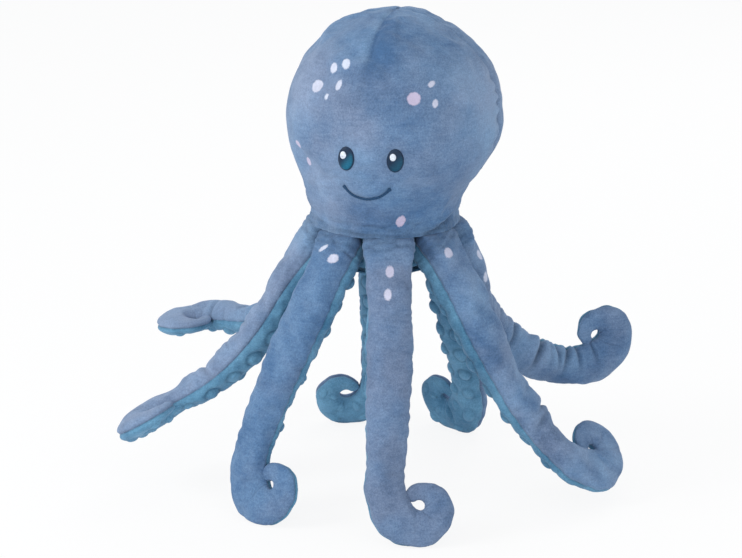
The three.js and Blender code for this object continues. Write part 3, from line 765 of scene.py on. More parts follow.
# Pale printed spots on the head: turn from the front in degrees, height above the seam, width, height, tilt
# in degrees, and how pink.
HEAD_SPOTS = [
    (-26.5, 139.1, 8, 9, 0, 0.1), (-17.6, 143, 8, 8.8, 8, 0.0), (-34.8, 124.2, 12, 11.4, 0, 0.2),
    (-19.4, 128.1, 6, 10, -6, 0.1), (-25.3, 118.1, 4.4, 6.4, 0, 0.0), (37.1, 130.6, 8.2, 5, 32, 0.3),
    (26.0, 120.8, 11.6, 11.4, 0, 1.0), (37.7, 116.2, 5.4, 8, -20, 0.3), (-46.3, 74, 10, 7.4, 0, 0.9),
    (-40, 60.4, 7, 10, -24, 0.9), (26.2, 15.3, 8.8, 11, 0, 1.0),
]
FAR_OUTSIDE = 20.0


# How far outside the nearest spot a place is, and how pink that spot is. Each row gives the places from the
# spot's middle, then its width, height, tilt and how pink.
def spot_marks(shape, rows):
    nearest, blush = np.full(shape, FAR_OUTSIDE), np.zeros(shape)
    for across, along, width, height, tilt, pink in rows:
        cos, sin = math.cos(math.radians(tilt)), math.sin(math.radians(tilt))
        gap = outside_oval(across * cos + along * sin, along * cos - across * sin, width, height)
        blush = np.where(gap < nearest, pink, blush)
        nearest = np.minimum(nearest, gap)
    return {"spot": nearest, "blush": blush}


# The cover's hem is turned in under the head: how far in and how high above the seam, out and back.
HEM_RADIUS = 45
HEM_LOW, HEM_TOP = 0.5, 1.3
HEM_STEPS = ((0.2, HEM_LOW), (0.5, HEM_LOW), (1, HEM_LOW), (1, HEM_TOP), (0.7, HEM_TOP), (0.4, HEM_TOP))
# The inside has one row of points for this many outside.
INSIDE_COARSER = 6


# The head's cover: points all round it, from its seam up.
class Head:
    def __init__(self):
        rows = head_outline(HEAD_ROW_STEP)
        places = np.interp(rows[:, 1], HEAD_LINE[:, 1], HEAD_INDEX)[:-1]
        turns = np.linspace(0, 2 * math.pi, HEAD_AROUND, endpoint=False)
        self.turns, self.places = np.meshgrid(turns, places)
        self.radii, self.heights, plain, _ = head_form(self.turns, self.places)
        self.lay = head_pile_and_light(self.turns, self.heights, plain)
        self.shell, self.crease = head_points(self.turns, self.places)
        self.normals = head_points(self.turns, self.places, 1.0)[0] - self.shell

    # How far from the face's stitches each place is.
    def from_stitches(self):
        x, height = self.radii * np.sin(self.turns), self.heights
        gap = np.minimum(eye_gap(x, height, -1), eye_gap(x, height, 1))
        gap = np.where(height < MOUTH_RISE + 4, np.minimum(gap, smile_gap(x, height)), gap)
        return np.where(np.cos(self.turns) > 0, gap, FAR_OUTSIDE)

    # The cover as a tube for the simulation, held along its seams and at its stitches.
    def tube(self):
        held = (self.heights < 4) | (self.heights > CROWN_HEIGHT - 3) | (self.from_stitches() < 2)
        for seam in SIDE_SEAMS:
            held |= np.abs(turned_from(self.turns, seam)) < 0.03
        for seam, _ in DARTS:
            held |= (np.abs(turned_from(self.turns, seam)) < 0.05) & (self.heights > DART_END)
        return self.shell, self.normals, held

    def hem(self, edge):
        turn = self.turns[0]
        spin = np.stack([np.sin(turn), -np.cos(turn)], 1)
        reach = np.linalg.norm(edge[:, :2] - AXIS, axis=1)
        rings = []
        for share, rise in HEM_STEPS:
            middle = AXIS + spin * lerp(reach, HEM_RADIUS, share)[:, None]
            height = SEAM_Z + rise + 0.12 * np.sin(NECK_GATHERS * turn + 2 * np.sin(5 * turn))
            rings.append(np.column_stack([middle, height]))
        return np.array(rings)

    def printed(self):
        slope = np.maximum(np.interp(self.places, HEAD_INDEX, HEAD_SLOPE[:, 1]), 0.2)
        rows = []
        for degrees, level, *oval in HEAD_SPOTS:
            across = self.radii * turned_from(self.turns, math.radians(degrees))
            rows.append((across, (self.heights - level) / slope, *oval))
        return spot_marks(self.turns.shape, rows)

    # Its outside from its crown down, its hem, then its inside up again.
    def make(self, field):
        gap = self.from_stitches()
        free = smoothstep(gap, 2, 10) * smoothstep(self.heights, 2, 12)
        outer = self.shell + self.normals * (field * free)[..., None]
        inside = head_points(self.turns[::INSIDE_COARSER], self.places[::INSIDE_COARSER], -COVER_THICKNESS)[0]
        inner = np.concatenate([self.hem(outer[0]), inside[1:]])
        rings = np.concatenate([outer[::-1], inner])[:, ::-1]
        bluer = 0.5 * (1 - smoothstep(self.heights, 4, 22)) + 0.45 * smoothstep(self.heights, 122, 158)
        shown = {"crease": self.crease, "lay": self.lay, "bluer": bluer, **self.printed()}
        # The hem and inside get a little painted shade.
        unseen = {"crease": 0.3, "lay": 0.0, "bluer": 0.0, "spot": FAR_OUTSIDE, "blush": 0.0}
        hidden = np.ones(inner.shape[:2])
        marks = {key: np.concatenate([shown[key][::-1, ::-1], unseen[key] * hidden]) for key in shown}
        marks["hue"] = 0.45 + 0.3 * waves(rings, 60, 31) + marks.pop("bluer")
        body = lofted(rings)
        cover = piece("head_cloth", "head_cover", *body, "head", "plush_blue", BLUE_PLUSH, with_poles(marks))


# Places on the head given as seen from straight in front, aside of its leaning axis and above the seam.
def on_head(x, z, let_out):
    place = np.interp(z, HEAD_LINE[:, 1], HEAD_INDEX)
    radius = np.interp(z, HEAD_LINE[:, 1], HEAD_LINE[:, 0])
    return head_points(np.arcsin(np.clip(x / radius, -1, 1)), place, let_out)[0]


OVAL_AROUND = 56
OVAL_RINGS = 12
MOUTH_ALONG = 90
MOUTH_AROUND = 14


# A patch of satin stitches inside an oval: its underside from the middle out, then its top back in.
def stitched_oval(node, middle_x, middle_z, width, height, low, puff, slot, look, glow=0.0):
    turn = np.linspace(0, 2 * math.pi, OVAL_AROUND, endpoint=False)[None, :]
    share = np.linspace(0.12, 1, OVAL_RINGS)[:, None]
    share = np.concatenate([share, share[::-1]])
    x = middle_x + width / 2 * share * np.cos(turn)
    z = middle_z + height / 2 * share * np.sin(turn)
    top = low + puff * (1 - share**5) + 0.25
    under = np.arange(len(share))[:, None] < OVAL_RINGS
    rings = on_head(x, z, np.where(under, low, top) + 0 * turn)
    lower = 0.7 * (x - middle_x) / width - 0.9 * (z - middle_z) / height
    marks = {"glow": glow * smoothstep(lower, -0.2, 0.35) * (1 - smoothstep(share, 0.78, 0.92))}
    piece(f"{node}_stitches", node, *lofted(rings), "head", slot, look, with_poles(marks))


def eye(side, name, glow):
    x = EYE_ASIDE + side * EYE_SPACING / 2
    stitched_oval(f"eye_{name}", x, EYE_RISE, EYE_WIDTH, EYE_HEIGHT,
                  0.2, 0.9, "thread_navy", NAVY_THREAD, glow)
    stitched_oval(f"eye_glint_{name}", x + GLINT_ASIDE, EYE_RISE + GLINT_UP, GLINT_WIDTH, GLINT_HEIGHT,
                  1.2, 0.6, "thread_white", WHITE_THREAD)


def mouth():
    reach = math.asin(MOUTH_WIDTH / 2 / SMILE_RADIUS)
    angle = np.linspace(-math.pi / 2 - reach, -math.pi / 2 + reach, MOUTH_ALONG)[:, None]
    run = (angle - angle[0]) * SMILE_RADIUS
    to_end = np.minimum(run, run[-1] - run)
    twist = 1 + 0.1 * np.sin(run * 2.4)
    half = MOUTH_LINE / 2 * (twist + 0.55 * bell(to_end - 1.2, 1.3)) * np.minimum(1, 0.25 + to_end / 0.8)
    section = np.linspace(0, 2 * math.pi, MOUTH_AROUND, endpoint=False)[None, :]
    radius = SMILE_RADIUS + half * np.cos(section)
    x = MOUTH_ASIDE + radius * np.cos(angle)
    z = SMILE_CENTRE + radius * np.sin(angle)
    rings = on_head(x, z, 0.55 + 0.55 * np.sin(section) + 0 * angle)[:, ::-1]
    piece("mouth_stitches", "mouth", *lofted(rings), "head", "thread_navy", MOUTH_THREAD)


eye(-1, "left", 0.95)
eye(1, "right", 0.4)
mouth()


# Arms.
def turned_about(v, axis, angle):
    cos, sin = math.cos(angle), math.sin(angle)
    return v * cos + np.cross(axis, v) * sin + axis * (axis @ v) * (1 - cos)


def curled(share):
    return CURL_TURN * share**CURL_TIGHTENING


# The frames an arm passes through, root hinge at the origin, X outward, Y towards its curl: middle line,
# heading, out of its back, towards its curl, length run.
def arm_frames(droop, bends, stretch=1.0):
    cos, sin = math.cos(math.radians(droop)), math.sin(math.radians(droop))
    t, n, b = np.array([cos, 0, -sin]), np.array([sin, 0, cos]), np.array([0, 1.0, 0])
    p, s = np.zeros(3), 0.0
    steps = []
    for bend in bends:
        turns = [turn / STEPS_PER_BEND for turn in bend]
        steps += [(SHAFT_LENGTH / (len(bends) * STEPS_PER_BEND), stretch, *turns)] * STEPS_PER_BEND
    for i in range(CURL_STEPS):
        sway = curled((i + 1) / CURL_STEPS) - curled(i / CURL_STEPS)
        steps.append((CURL_LENGTH / CURL_STEPS, 1.0, 0, sway, 0))
    rows = [(p, t, n, b, s)]
    for run, pull, lift, sway, twist in steps:
        for half in range(2):
            axis = sway * n - lift * b
            angle = math.radians(np.linalg.norm(axis) / 2)
            if angle > 0:
                axis = unit(axis)
                t, n, b = (turned_about(v, axis, angle) for v in (t, n, b))
            n, b = (turned_about(v, t, math.radians(twist / 2)) for v in (n, b))
            if half == 0:
                p = p + t * run * pull
        s += run
        rows.append((p, t, n, b, s))
    return [np.array([row[i] for row in rows]) for i in range(5)]


# The same middle line as a smooth curve in fine steps.
def fine_frames(coarse, step):
    p, t, n, b, s = coarse
    fine_s = np.linspace(0, s[-1], int(s[-1] / step) + 1)
    low = np.clip(np.searchsorted(s, fine_s, side="right") - 1, 0, len(s) - 2)
    u = ((fine_s - s[low]) / (s[low + 1] - s[low]))[:, None]
    u2, u3 = u**2, u**3
    chord = np.linalg.norm(p[low + 1] - p[low], axis=1, keepdims=True)
    angle = np.arccos(np.clip((t[low] * t[low + 1]).sum(1, keepdims=True), -1, 1))
    pull = np.where(angle > 1e-4, 2 * np.tan(angle / 4) / np.maximum(np.sin(angle / 2), 1e-9), 1) * chord
    q, q1, h, h1 = p[low], p[low + 1], t[low] * pull, t[low + 1] * pull
    place = (2 * u3 - 3 * u2 + 1) * q + (u3 - 2 * u2 + u) * h + (3 * u2 - 2 * u3) * q1 + (u3 - u2) * h1
    heading = (6 * u2 - 6 * u) * (q - q1) + (3 * u2 - 4 * u + 1) * h + (3 * u2 - 2 * u) * h1
    heading = unit(heading)
    back = lerp(n[low], n[low + 1], u)
    back = unit(back - heading * (back * heading).sum(1, keepdims=True))
    return place, heading, back, np.cross(back, heading), fine_s


def arm_half_width(s):
    shaft = lerp(ROOT_WIDTH, FULL_WIDTH, smoothstep(s, 0, FULL_AT))
    slimmer = lerp(FULL_WIDTH, WRIST_WIDTH, (s - FULL_AT) / (SHAFT_LENGTH - FULL_AT))
    curl = lerp(WRIST_WIDTH, TIP_WIDTH, np.clip((s - SHAFT_LENGTH) / CURL_LENGTH, 0, 1) ** CURL_TAPER)
    return np.where(s > SHAFT_LENGTH, curl, np.where(s > FULL_AT, slimmer, shaft)) / 2


def arm_half_depth(s):
    return arm_half_width(s) * lerp(FLATNESS, ROOT_DEPTH / ROOT_WIDTH, 1 - smoothstep(s, 0, FULL_AT))


# Points round the plain form that an arm's solid has at its frames.
PLAIN_STEPS = 5


def plain_outline(index):
    place, _, back, aside, s = (v[:, None] for v in arm_frames(**ARM_SETS[index]))
    phi = np.linspace(0, math.pi, PLAIN_STEPS + 1)
    wide = (arm_half_width(s) * np.cos(phi))[..., None]
    deep = (SEWN_GAP / 2 + arm_half_depth(s) * np.sin(phi))[..., None]
    return np.concatenate([place + aside * wide + back * side * deep for side in (1, -1)])


def lowest(points, more_droop=0.0):
    return (points[..., 2] * math.cos(more_droop) - points[..., 0] * math.sin(more_droop)).min()


# How an arm lies. One that stands droops on until it is as low as the first arm, to a thousandth of a degree.
def arm_set(index):
    chosen = dict(ARM_SETS[index])
    if index in STANDING:
        points, floor_level = plain_outline(index), lowest(plain_outline(0))
        up, down = math.radians(-15), math.radians(15)
        while down - up > 1e-6:
            middle = (up + down) / 2
            if lowest(points, middle) > floor_level:
                up = middle
            else:
                down = middle
        chosen["droop"] = round(chosen["droop"] + math.degrees(up), 3)
    return chosen


# Pale spots on an arm's back: aside of its middle towards its curl, length along it, width, height, tilt in
# degrees, how pink.
ARM_SPOTS = {
    0: [(-0.3, 20.3, 7.2, 10.8, 0, 0.6), (-2.2, 37.8, 6.6, 9.4, 0, 0.4)],
    1: [(-9.9, 9.5, 9.6, 7.6, -26, 0.4)],
    2: [(-10.6, 24.3, 8, 9, 0, 0.2), (-14.5, 42, 8, 9, 0, 0.1)],
    7: [(-1.4, 8.1, 10, 4.2, -54, 0.1), (11.6, 12.2, 10.4, 7.4, -30, 0.3)],
}
# Single deep folds: length along the arm, where round it in radians from its curl side over its back, reach
# round it, depth, slant, width.
ARM_FOLDS = {
    1: [(143, 0.5, 0.9, 3.2, 1.5, 2.2), (126, 0.9, 0.7, 1.2, -2, 2.4), (151, 1.6, 0.8, 1.2, 3, 2.4)],
    2: [(112, 1.0, 1.2, 2.6, 3, 2.6), (148, 0.8, 1.3, 3.4, -2, 2.6), (167, 0.6, 1.1, 2.4, 2, 2.0),
        (178, 0.6, 1.2, 3.0, -3, 2.3), (188, 0.5, 1.1, 2.4, 2, 2.0), (208, 0.4, 1.0, 2.2, 0, 2.2)],
    5: [(60, 1.5, 1.4, 2.2, 3, 2.6), (84, 1.7, 1.2, 2.6, -3, 2.4), (196, 0.6, 1.0, 1.8, 0, 2.4)],
    6: [(150, 1.2, 1.1, 1.8, 2, 2.4), (96, 1.8, 1.0, 1.2, 2, 3.0)],
}
# For each arm, how far its curl is stuffed out towards its eye, how much of its outer side its tip lacks so
# that it stays clear of its shaft, how blue its back is, how much lighter or darker its back and its sucker
# side are painted, partly for how the pile lies and partly as painted light, such as on sucker sides that lie
# in shade under the body, and how uneven the pile of its back is.
ARM_LOOKS = [
    (0.26, 0.05, 0.15, -0.2, 0, 0.6),
    (0.42, 0, 0.6, -0.15, 0, 1.5),
    (0.3, 0.16, 0.5, -0.05, 0, 1.6),
    (0.34, 0, 0.5, 0, 0.2, 1),
    (0.1, 0.2, 0.5, 0, 0.8, 1),
    (0.25, 0, 0.35, 0.8, 0.2, 1.2),
    (0.25, 0, 0.2, 0.6, 0.3, 1.2),
    (0.38, 0, 0.95, -0.35, 0, 0.8),
]
SUCKERS_UNEVEN = 1.7
ARM_LUMPS = ((0.8, 34, 11), (0.5, 15, 12), (0.1, 4.5, 13))
ARM_PILE = ((0.3, 28, 41), (0.2, 10, 42))
ARMS_APART = 500.0

# Packed round the neck, the roots are spread to their neighbours, wider at the back, and stand up to the
# seam.
ROOT_SPREAD = 0.04
ROOT_WEDGE = 0.26
ROOT_LIFT = 0.19
# Lines across each root, where it is gathered in: length along the arm and depth.
ROOT_LINES = ((-4.5, 0.8), (-1.0, 0.9), (2.5, 0.8), (6.0, 0.5), (10.0, 0.3))

SECTION_STEPS = 45
INNER_STEPS = 5
RING_STEP = 1.35
CAP_STEPS = 12
# How full an arm's section is at its tip and at its root, and how far along it has become as at its tip.
ROUND_POWER = 2.1
FULL_POWER = 3.4
ROUND_AT = 200


def arm_creases(index, s, heading, back, aside):
    chance = np.random.default_rng(40 + index)
    bend = np.gradient(heading, s, axis=0)
    to_curl, to_back = (bend * aside).sum(1), (bend * back).sum(1)
    squeeze = np.hypot(to_curl, to_back) * arm_half_width(s)
    inner = np.arctan2(to_back, to_curl)
    creases = []
    at = 14.0
    while at < s[-1] - 4:
        i = np.searchsorted(s, at)
        in_curl = at > SHAFT_LENGTH - 6
        depth = min(0.9, 1.6 * squeeze[i]) if in_curl else min(1.3, 8 * squeeze[i])
        if depth > 0.5:
            reach = 0.7 + 0.5 * min(1, squeeze[i] * 3) + chance.uniform(-0.15, 0.25)
            creases.append((at, inner[i] + chance.normal(0, 0.3), reach, depth * chance.uniform(0.4, 0.9),
                            chance.uniform(-3, 3), chance.uniform(1.3, 2.1)))
        creases.append((at + chance.uniform(-3, 3), chance.uniform(0, 2 * math.pi), chance.uniform(0.35, 0.8),
                        chance.uniform(0.25, 0.7), chance.uniform(-5, 5), chance.uniform(0.9, 1.6)))
        at += chance.uniform(8, 14) + (5 if in_curl else 0)
    return creases + ARM_FOLDS.get(index, [])


# Turns round a section at which its points are evenly spaced along its outline.
def even_turns(fullness, half_width, half_depth):
    fine = np.linspace(0, math.pi, 361)
    x = half_width * np.sign(np.cos(fine)) * np.abs(np.cos(fine)) ** fullness
    y = half_depth * np.abs(np.sin(fine)) ** fullness
    shares = np.linspace(0, 1, SECTION_STEPS + 1)
    return np.array([np.interp(shares * run[-1], run, fine) for run in run_along(x, y)])


# An arm's two stuffed halves, which meet at its side seams: side 1 is its back, side -1 its sucker side.
class Arm:
    def __init__(self, index):
        self.index = index
        self.name = f"arm_{index + 1}"
        lift = joint(f"{self.name}_lift")
        self.hinge = np.array(lift["pos_m"]) / MM
        aside_axis = -np.array(lift["axis"])
        self.world = np.stack([np.cross(aside_axis, UP), aside_axis, UP])
        place, heading, back, aside, s = fine_frames(arm_frames(**arm_set(index)), RING_STEP)
        self.length = s[-1]
        self.creases = arm_creases(index, s, heading, back, aside)

        # Rings round its blunt root, along it and round its tip: where, how wide, how deep and how far ahead.
        psi = np.linspace(0, math.pi / 2, CAP_STEPS + 1)[1:]
        tip = np.linspace(0, math.pi / 2, CAP_STEPS // 2 + 1)[1:-1]
        whole = np.ones(len(s) - 1)
        at = np.concatenate([0 * psi, np.arange(1, len(s)), 0 * tip + len(s) - 1]).astype(int)
        wide = np.concatenate([(1 - np.cos(psi) ** 4) ** (1 / 4), whole, np.cos(tip)])[:, None]
        self.deep = np.concatenate([(1 - np.cos(psi) ** 3) ** (1 / 3), whole, np.cos(tip)])[:, None]
        ahead = [-ROOT_DEPTH / 2 * np.cos(psi), 0 * whole, TIP_WIDTH / 2 * np.sin(tip)]
        self.ahead = np.concatenate(ahead)[:, None]
        self.run = s[at][:, None] + self.ahead
        self.frames = [v[at][:, None, :] for v in (place, heading, back, aside)]
        self.section(arm_half_width(s[at])[:, None], arm_half_depth(s[at])[:, None], wide)
        self.marks, self.shell = {}, {}
        for side in (1, -1):
            self.shape(side)

    # Places round each ring, with the length run round it and the way out of both sides.
    def section(self, full_width, full_depth, wide):
        fill, trim = ARM_LOOKS[self.index][:2]
        self.root = 1 - smoothstep(self.run, -4, 24)
        power = lerp(ROUND_POWER, FULL_POWER, np.clip(1 - self.run / ROUND_AT, 0, 1) ** 1.5)
        fullness = 2 / (power + self.root)
        half_width = full_width * wide
        self.half_depth = full_depth * np.maximum(self.deep, 0.2)
        self.phi = even_turns(fullness, half_width, self.half_depth)
        cos, sin = np.cos(self.phi), np.sin(self.phi)
        in_curl = smoothstep(self.run, SHAFT_LENGTH - 8, SHAFT_LENGTH + 40)
        filled = fill * in_curl * (1 - 0.5 * smoothstep(self.run, self.length - 20, self.length))
        trimmed = trim * smoothstep(self.run, self.length - 60, self.length - 22)
        self.x = half_width * np.sign(cos) * np.abs(cos) ** fullness
        self.x *= 1 + np.where(cos > 0, filled, 0.04 * in_curl - trimmed)
        self.y = self.half_depth * np.abs(sin) ** fullness
        self.calm = 1 - 0.8 * in_curl * smoothstep(cos, 0.4, 0.95)
        self.arc = run_along(self.x, self.y)
        self.middle = self.arc[:, SECTION_STEPS // 2][:, None]
        aside, up = cos / full_width, sin / full_depth
        size = np.hypot(aside, up)
        back, to_curl = self.frames[2:]
        flat, steep = to_curl * (aside / size)[..., None], back * (up / size)[..., None]
        self.normals = {side: flat + side * steep for side in (1, -1)}

    def suckers(self, relief, crease, lay):
        count = int((self.length - 14 - SUCKER_FROM) / SUCKER_PITCH) + 1
        for pair in range(count):
            along = SUCKER_FROM + SUCKER_PITCH * pair
            half_width = float(arm_half_width(np.array(along)))
            scale = half_width / (FULL_WIDTH / 2)
            radius = SUCKER_RADIUS * scale
            rim_shown = lerp(1, 0.25, smoothstep(along, SHAFT_LENGTH - 12, SHAFT_LENGTH + 12))
            for way in (-1, 1):
                gap = np.hypot(self.run - along, self.arc - self.middle - way * SUCKER_SPREAD * half_width)
                much = 0.8 + 0.35 * math.sin(3.1 * pair + 5 * way + self.index)
                dome = np.clip(1 - (gap / radius) ** 2, 0, 1) ** 0.75
                rim = rim_shown * bell(gap - radius - 0.3, 1.1)
                # Each dome gets a painted highlight, and painted shade falls in the groove round it.
                relief += SUCKER_PUFF * much * scale * dome - 0.9 * rim
                crease += 0.6 * rim
                lay += 0.45 * dome - 0.3 * rim

    # The cloth of one side: its points, and its marks for painted shade in its creases, and for its pile with
    # painted light and shade.
    def shape(self, side):
        run, on_back = self.run, side > 0
        hue, back_pile_and_light, suckers_pile_and_light, back_uneven = ARM_LOOKS[self.index][2:]
        middle_line, heading, back, to_curl = self.frames
        depth_share = self.y / self.half_depth
        packed = ROOT_WEDGE * (depth_share**1.5 if on_back else -0.5 * depth_share)
        x = self.x * (1 + self.root * (ROOT_SPREAD + packed))
        y = self.y * (1 + self.root * ROOT_LIFT) if on_back else -self.y
        base = middle_line + heading * self.ahead[..., None] + to_curl * x[..., None] + back * y[..., None]
        spread = base + self.index * ARMS_APART
        relief = lumps(spread, ARM_LUMPS)
        crease = np.zeros_like(relief)
        lay = lumps(spread, ARM_PILE) * (back_uneven if on_back else SUCKERS_UNEVEN)
        for centre, angle, reach, depth, slant, width in self.creases:
            near = np.abs(run[:, 0] - centre) < 14
            off = turned_from(self.phi[near] * side, angle)
            line = run[near] - centre - slant * off
            shown = depth * np.exp(-((off / reach) ** 2) ** 1.5)
            relief[near] -= shown * groove(line, width, 0.42, 2.2 * width, 1.6 * width)
            # Painted shade in each crease, and painted highlights on the ridges beside it.
            crease[near] += 0.32 * shown * bell(line, width * 0.9)
            lay[near] += 0.14 * shown * bell(np.abs(line) - 2.0 * width, 1.3 * width)
        from_seam = np.minimum(self.arc, self.arc[:, -1:] - self.arc)
        pucker = np.sin(run / 1.9 + 1.5 * np.sin(run / 7.0 + self.index))
        relief = self.calm * (relief + 0.35 * pucker * bell(from_seam, 4)) - 1.1 * bell(from_seam, 1.5)
        # Painted shade along the side seams.
        crease += 0.5 * bell(from_seam, 1.0)
        # Gathered lines across the root with painted shade in them, then a band of painted shade at the root
        # under the head.
        for level, depth in ROOT_LINES:
            line = run - level - 1.3 * np.sin(x / 5 + level + self.index) - 0.5 * np.sin(x / 1.7 + 3 * level)
            relief -= depth * groove(line, 0.9, 0.4, 2, 1.2)
            crease += 0.34 * depth * bell(line, 1.0)
        crease += 0.3 * (1 - smoothstep(run, -2, 10 + 2 * np.sin(x / 4)))
        if not on_back:
            self.suckers(relief, crease, lay)
        relief = relief * np.minimum(1, self.deep * 1.2)
        # Each arm's own lighter or darker pile, with painted light on sucker sides that lie in shade.
        lay += back_pile_and_light if on_back else suckers_pile_and_light
        hues = lerp(hue + 0.25 * waves(spread, 50, 43), 0.85, 1 - smoothstep(run, 4, 24))
        self.marks[side] = {"crease": np.clip(crease, 0, 1), "lay": lay, "hue": hues}
        self.shell[side] = base + self.normals[side] * relief[..., None]

    # Both halves as one tube for the simulation, its back first, held at its side seams and its root.
    def tube(self):
        halves = (self.shell, self.normals)
        shell, normals = (np.concatenate([half[1], half[-1][:, -2:0:-1]], 1) for half in halves)
        held = np.zeros(shell.shape[:2], bool)
        held[:, [0, SECTION_STEPS]] = True
        return shell, normals, held | (self.run < 3)

    def printed(self):
        return spot_marks(self.arc.shape, [
            (self.middle - self.arc - x, self.run + 0 * self.arc - along, *oval)
            for x, along, *oval in ARM_SPOTS.get(self.index, [])])

    # One half, closed along its seams by a flat inside.
    def make_half(self, side, part, slot, look, field):
        moved = field * self.calm * smoothstep(self.run, 2, 14)
        shown = self.shell[side] + self.normals[side] * moved[..., None]
        chord = np.linspace(1, 0, INNER_STEPS + 2)[1:-1][None, :, None]
        inner = lerp(shown[:, :1], shown[:, -1:], chord) + self.frames[2] * side * SEWN_GAP / 2
        rings = np.concatenate([shown, inner], axis=1) @ self.world + self.hinge
        rings[..., 2] = np.clip(rings[..., 2], 0.0, SEAM_Z - SEWN_GAP)
        marks = {**self.marks[side], **(self.printed() if side > 0 else {})}
        hidden = np.ones((len(rings), INNER_STEPS))
        unseen = {"spot": FAR_OUTSIDE}
        marks = {key: np.concatenate([marks[key], unseen.get(key, 0.0) * hidden], 1) for key in marks}
        if side < 0:
            rings = rings[:, ::-1]
            marks = {key: marks[key][:, ::-1] for key in marks}
        node = f"{self.name}_{part}"
        half = piece(f"{node}_cloth", node, *lofted(rings), None, slot, look, with_poles(marks), sharp=70)
        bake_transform(half)

    def make(self, field):
        round_under = np.concatenate([field[:, :1], field[:, :SECTION_STEPS - 1:-1]], 1)
        self.make_half(1, "back", "plush_blue", BLUE_PLUSH, field[:, :SECTION_STEPS + 1])
        self.make_half(-1, "suckers", "plush_teal", TEAL_PLUSH, round_under)


covers = [*(Arm(index) for index in range(len(ARM_SETS))), Head()]
shells = [cover.tube() for cover in covers]
fields = settled(shells, [ARM_MOST_MOVED] * len(ARM_SETS) + [HEAD_MOST_MOVED])
for cover, field in zip(covers, fields):
    cover.make(field)


# The parts under the head. A softened copy has its node's form in rounded, slightly uneven cloth.
def softened(node, name, slot, look, voxel, rounds, swell, lump, inset=0.0):
    draft = linked(f"{name}_draft", frame["nodes"][node].data.copy())
    remesh = draft.modifiers.new("remesh", "REMESH")
    remesh.mode = "VOXEL"
    remesh.voxel_size = voxel * MM
    draft.modifiers.new("smooth", "SMOOTH").iterations = rounds
    mesh = bpy.data.meshes.new_from_object(draft.evaluated_get(bpy.context.evaluated_depsgraph_get()))
    bpy.data.objects.remove(draft)
    points, normals = vertex_values(mesh, "co") / MM, vertex_values(mesh, "normal")
    faces = [tuple(face.vertices) for face in mesh.polygons]
    bpy.data.meshes.remove(mesh)
    points = points + normals * (swell * waves(points, lump, 51) - inset)[:, None]
    # Painted shade in the hollows of its lumps.
    marks = {"crease": 0.3 * np.clip(-waves(points, lump, 51), 0, 1), "lay": 0.5 * waves(points, 12, 52)}
    return piece(name, node, points, faces, frame["nodes"][node]["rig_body"], slot, look, marks, sharp=80)


def fastening(node, name, light, dark, size):
    look = tape(name, light, dark, size)
    softened(node, name, "fastening_tape", look, voxel=0.35, rounds=2, swell=0.05, lump=2)


softened("underbody", "underbody_cloth", "plush_teal", TEAL_PLUSH,
                   voxel=1.5, rounds=4, swell=0.35, lump=9, inset=0.25)
softened("head_stuffing", "head_fibre", "stuffing", fibre(),
                   voxel=4, rounds=6, swell=0.6, lump=14, inset=2.6)
softened("pocket_flap", "pocket_flap_cloth", "plush_teal", TEAL_PLUSH,
                   voxel=0.9, rounds=5, swell=0.15, lump=7, inset=0.05)
fastening("loop_strip", "loop_tape", rgb(98, 140, 164), rgb(62, 100, 126), 0.9)
fastening("hook_strip", "hook_tape", rgb(86, 126, 150), rgb(54, 88, 112), 0.6)

# The pocket's lining.
LINING_DOME = 22.6
LINING_THICKNESS = 1.2
LINING_PLEATS = 24
PLEAT_DEPTH = 0.12


# A thimble of thin cloth with soft pleats, from its top down its outside, then up its inside.
def lining_cloth():
    low, high = box_mm("pocket_lining")
    bend_at = high[2] - LINING_DOME
    turn = np.linspace(0, math.pi / 2, 16)[1:-1]
    layers = []
    for let_in in (0, LINING_THICKNESS):
        radius, rise = (high[0] - low[0]) / 2 - let_in, LINING_DOME - let_in
        side = [(radius, z) for z in np.linspace(low[2], bend_at, 12)]
        layers.append(side + [(radius * math.cos(q), bend_at + rise * math.sin(q)) for q in turn])
    rows = np.array(layers[0][::-1] + layers[1])
    spin = np.linspace(2 * math.pi, 0, 96, endpoint=False)
    radius, height = rows[:, :1], rows[:, 1:]
    pleat = PLEAT_DEPTH * np.sin(LINING_PLEATS * spin + 2 * np.sin(3 * spin)) * np.minimum(1, radius / 20)
    x, y = AXIS[0] + (radius + pleat) * np.cos(spin), AXIS[1] + (radius + pleat) * np.sin(spin)
    rings = np.stack([x, y, height + 0 * spin], -1)
    look = woven("lining_cloth", rgb(112, 140, 164), rgb(78, 104, 128), 0.9)
    lining = piece("pocket_lining_cloth", "pocket_lining", *lofted(rings), "head", "lining", look)


lining_cloth()

# The button's return spring, a coil built here at rest; the real one shortens towards the switch as the
# button is pressed.
SPRING_WIRE = 0.5
SPRING_TURNS = 3


def spring(look):
    low, high = box_mm("button_spring")
    wire = SPRING_WIRE / 2
    radius = (high[0] - low[0]) / 2 - wire
    share = np.linspace(0, 1, 32 * SPRING_TURNS + 1)
    angle = 2 * math.pi * SPRING_TURNS * share
    outward = np.stack([np.cos(angle), np.sin(angle), 0 * angle], 1)
    middle = radius * outward + UP * lerp(low[2] + wire, high[2] - wire, share)[:, None]
    middle[:, :2] += (low + high)[:2] / 2
    over = np.cross(unit(np.gradient(middle, axis=0)), outward)
    turn = np.linspace(0, 2 * math.pi, 10, endpoint=False)[None, :, None]
    rings = middle[:, None] + wire * (np.cos(turn) * outward[:, None] + np.sin(turn) * over[:, None])
    coil = piece("button_spring_coil", "button_spring", *lofted(rings), "head", "steel", look)
    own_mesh(coil)


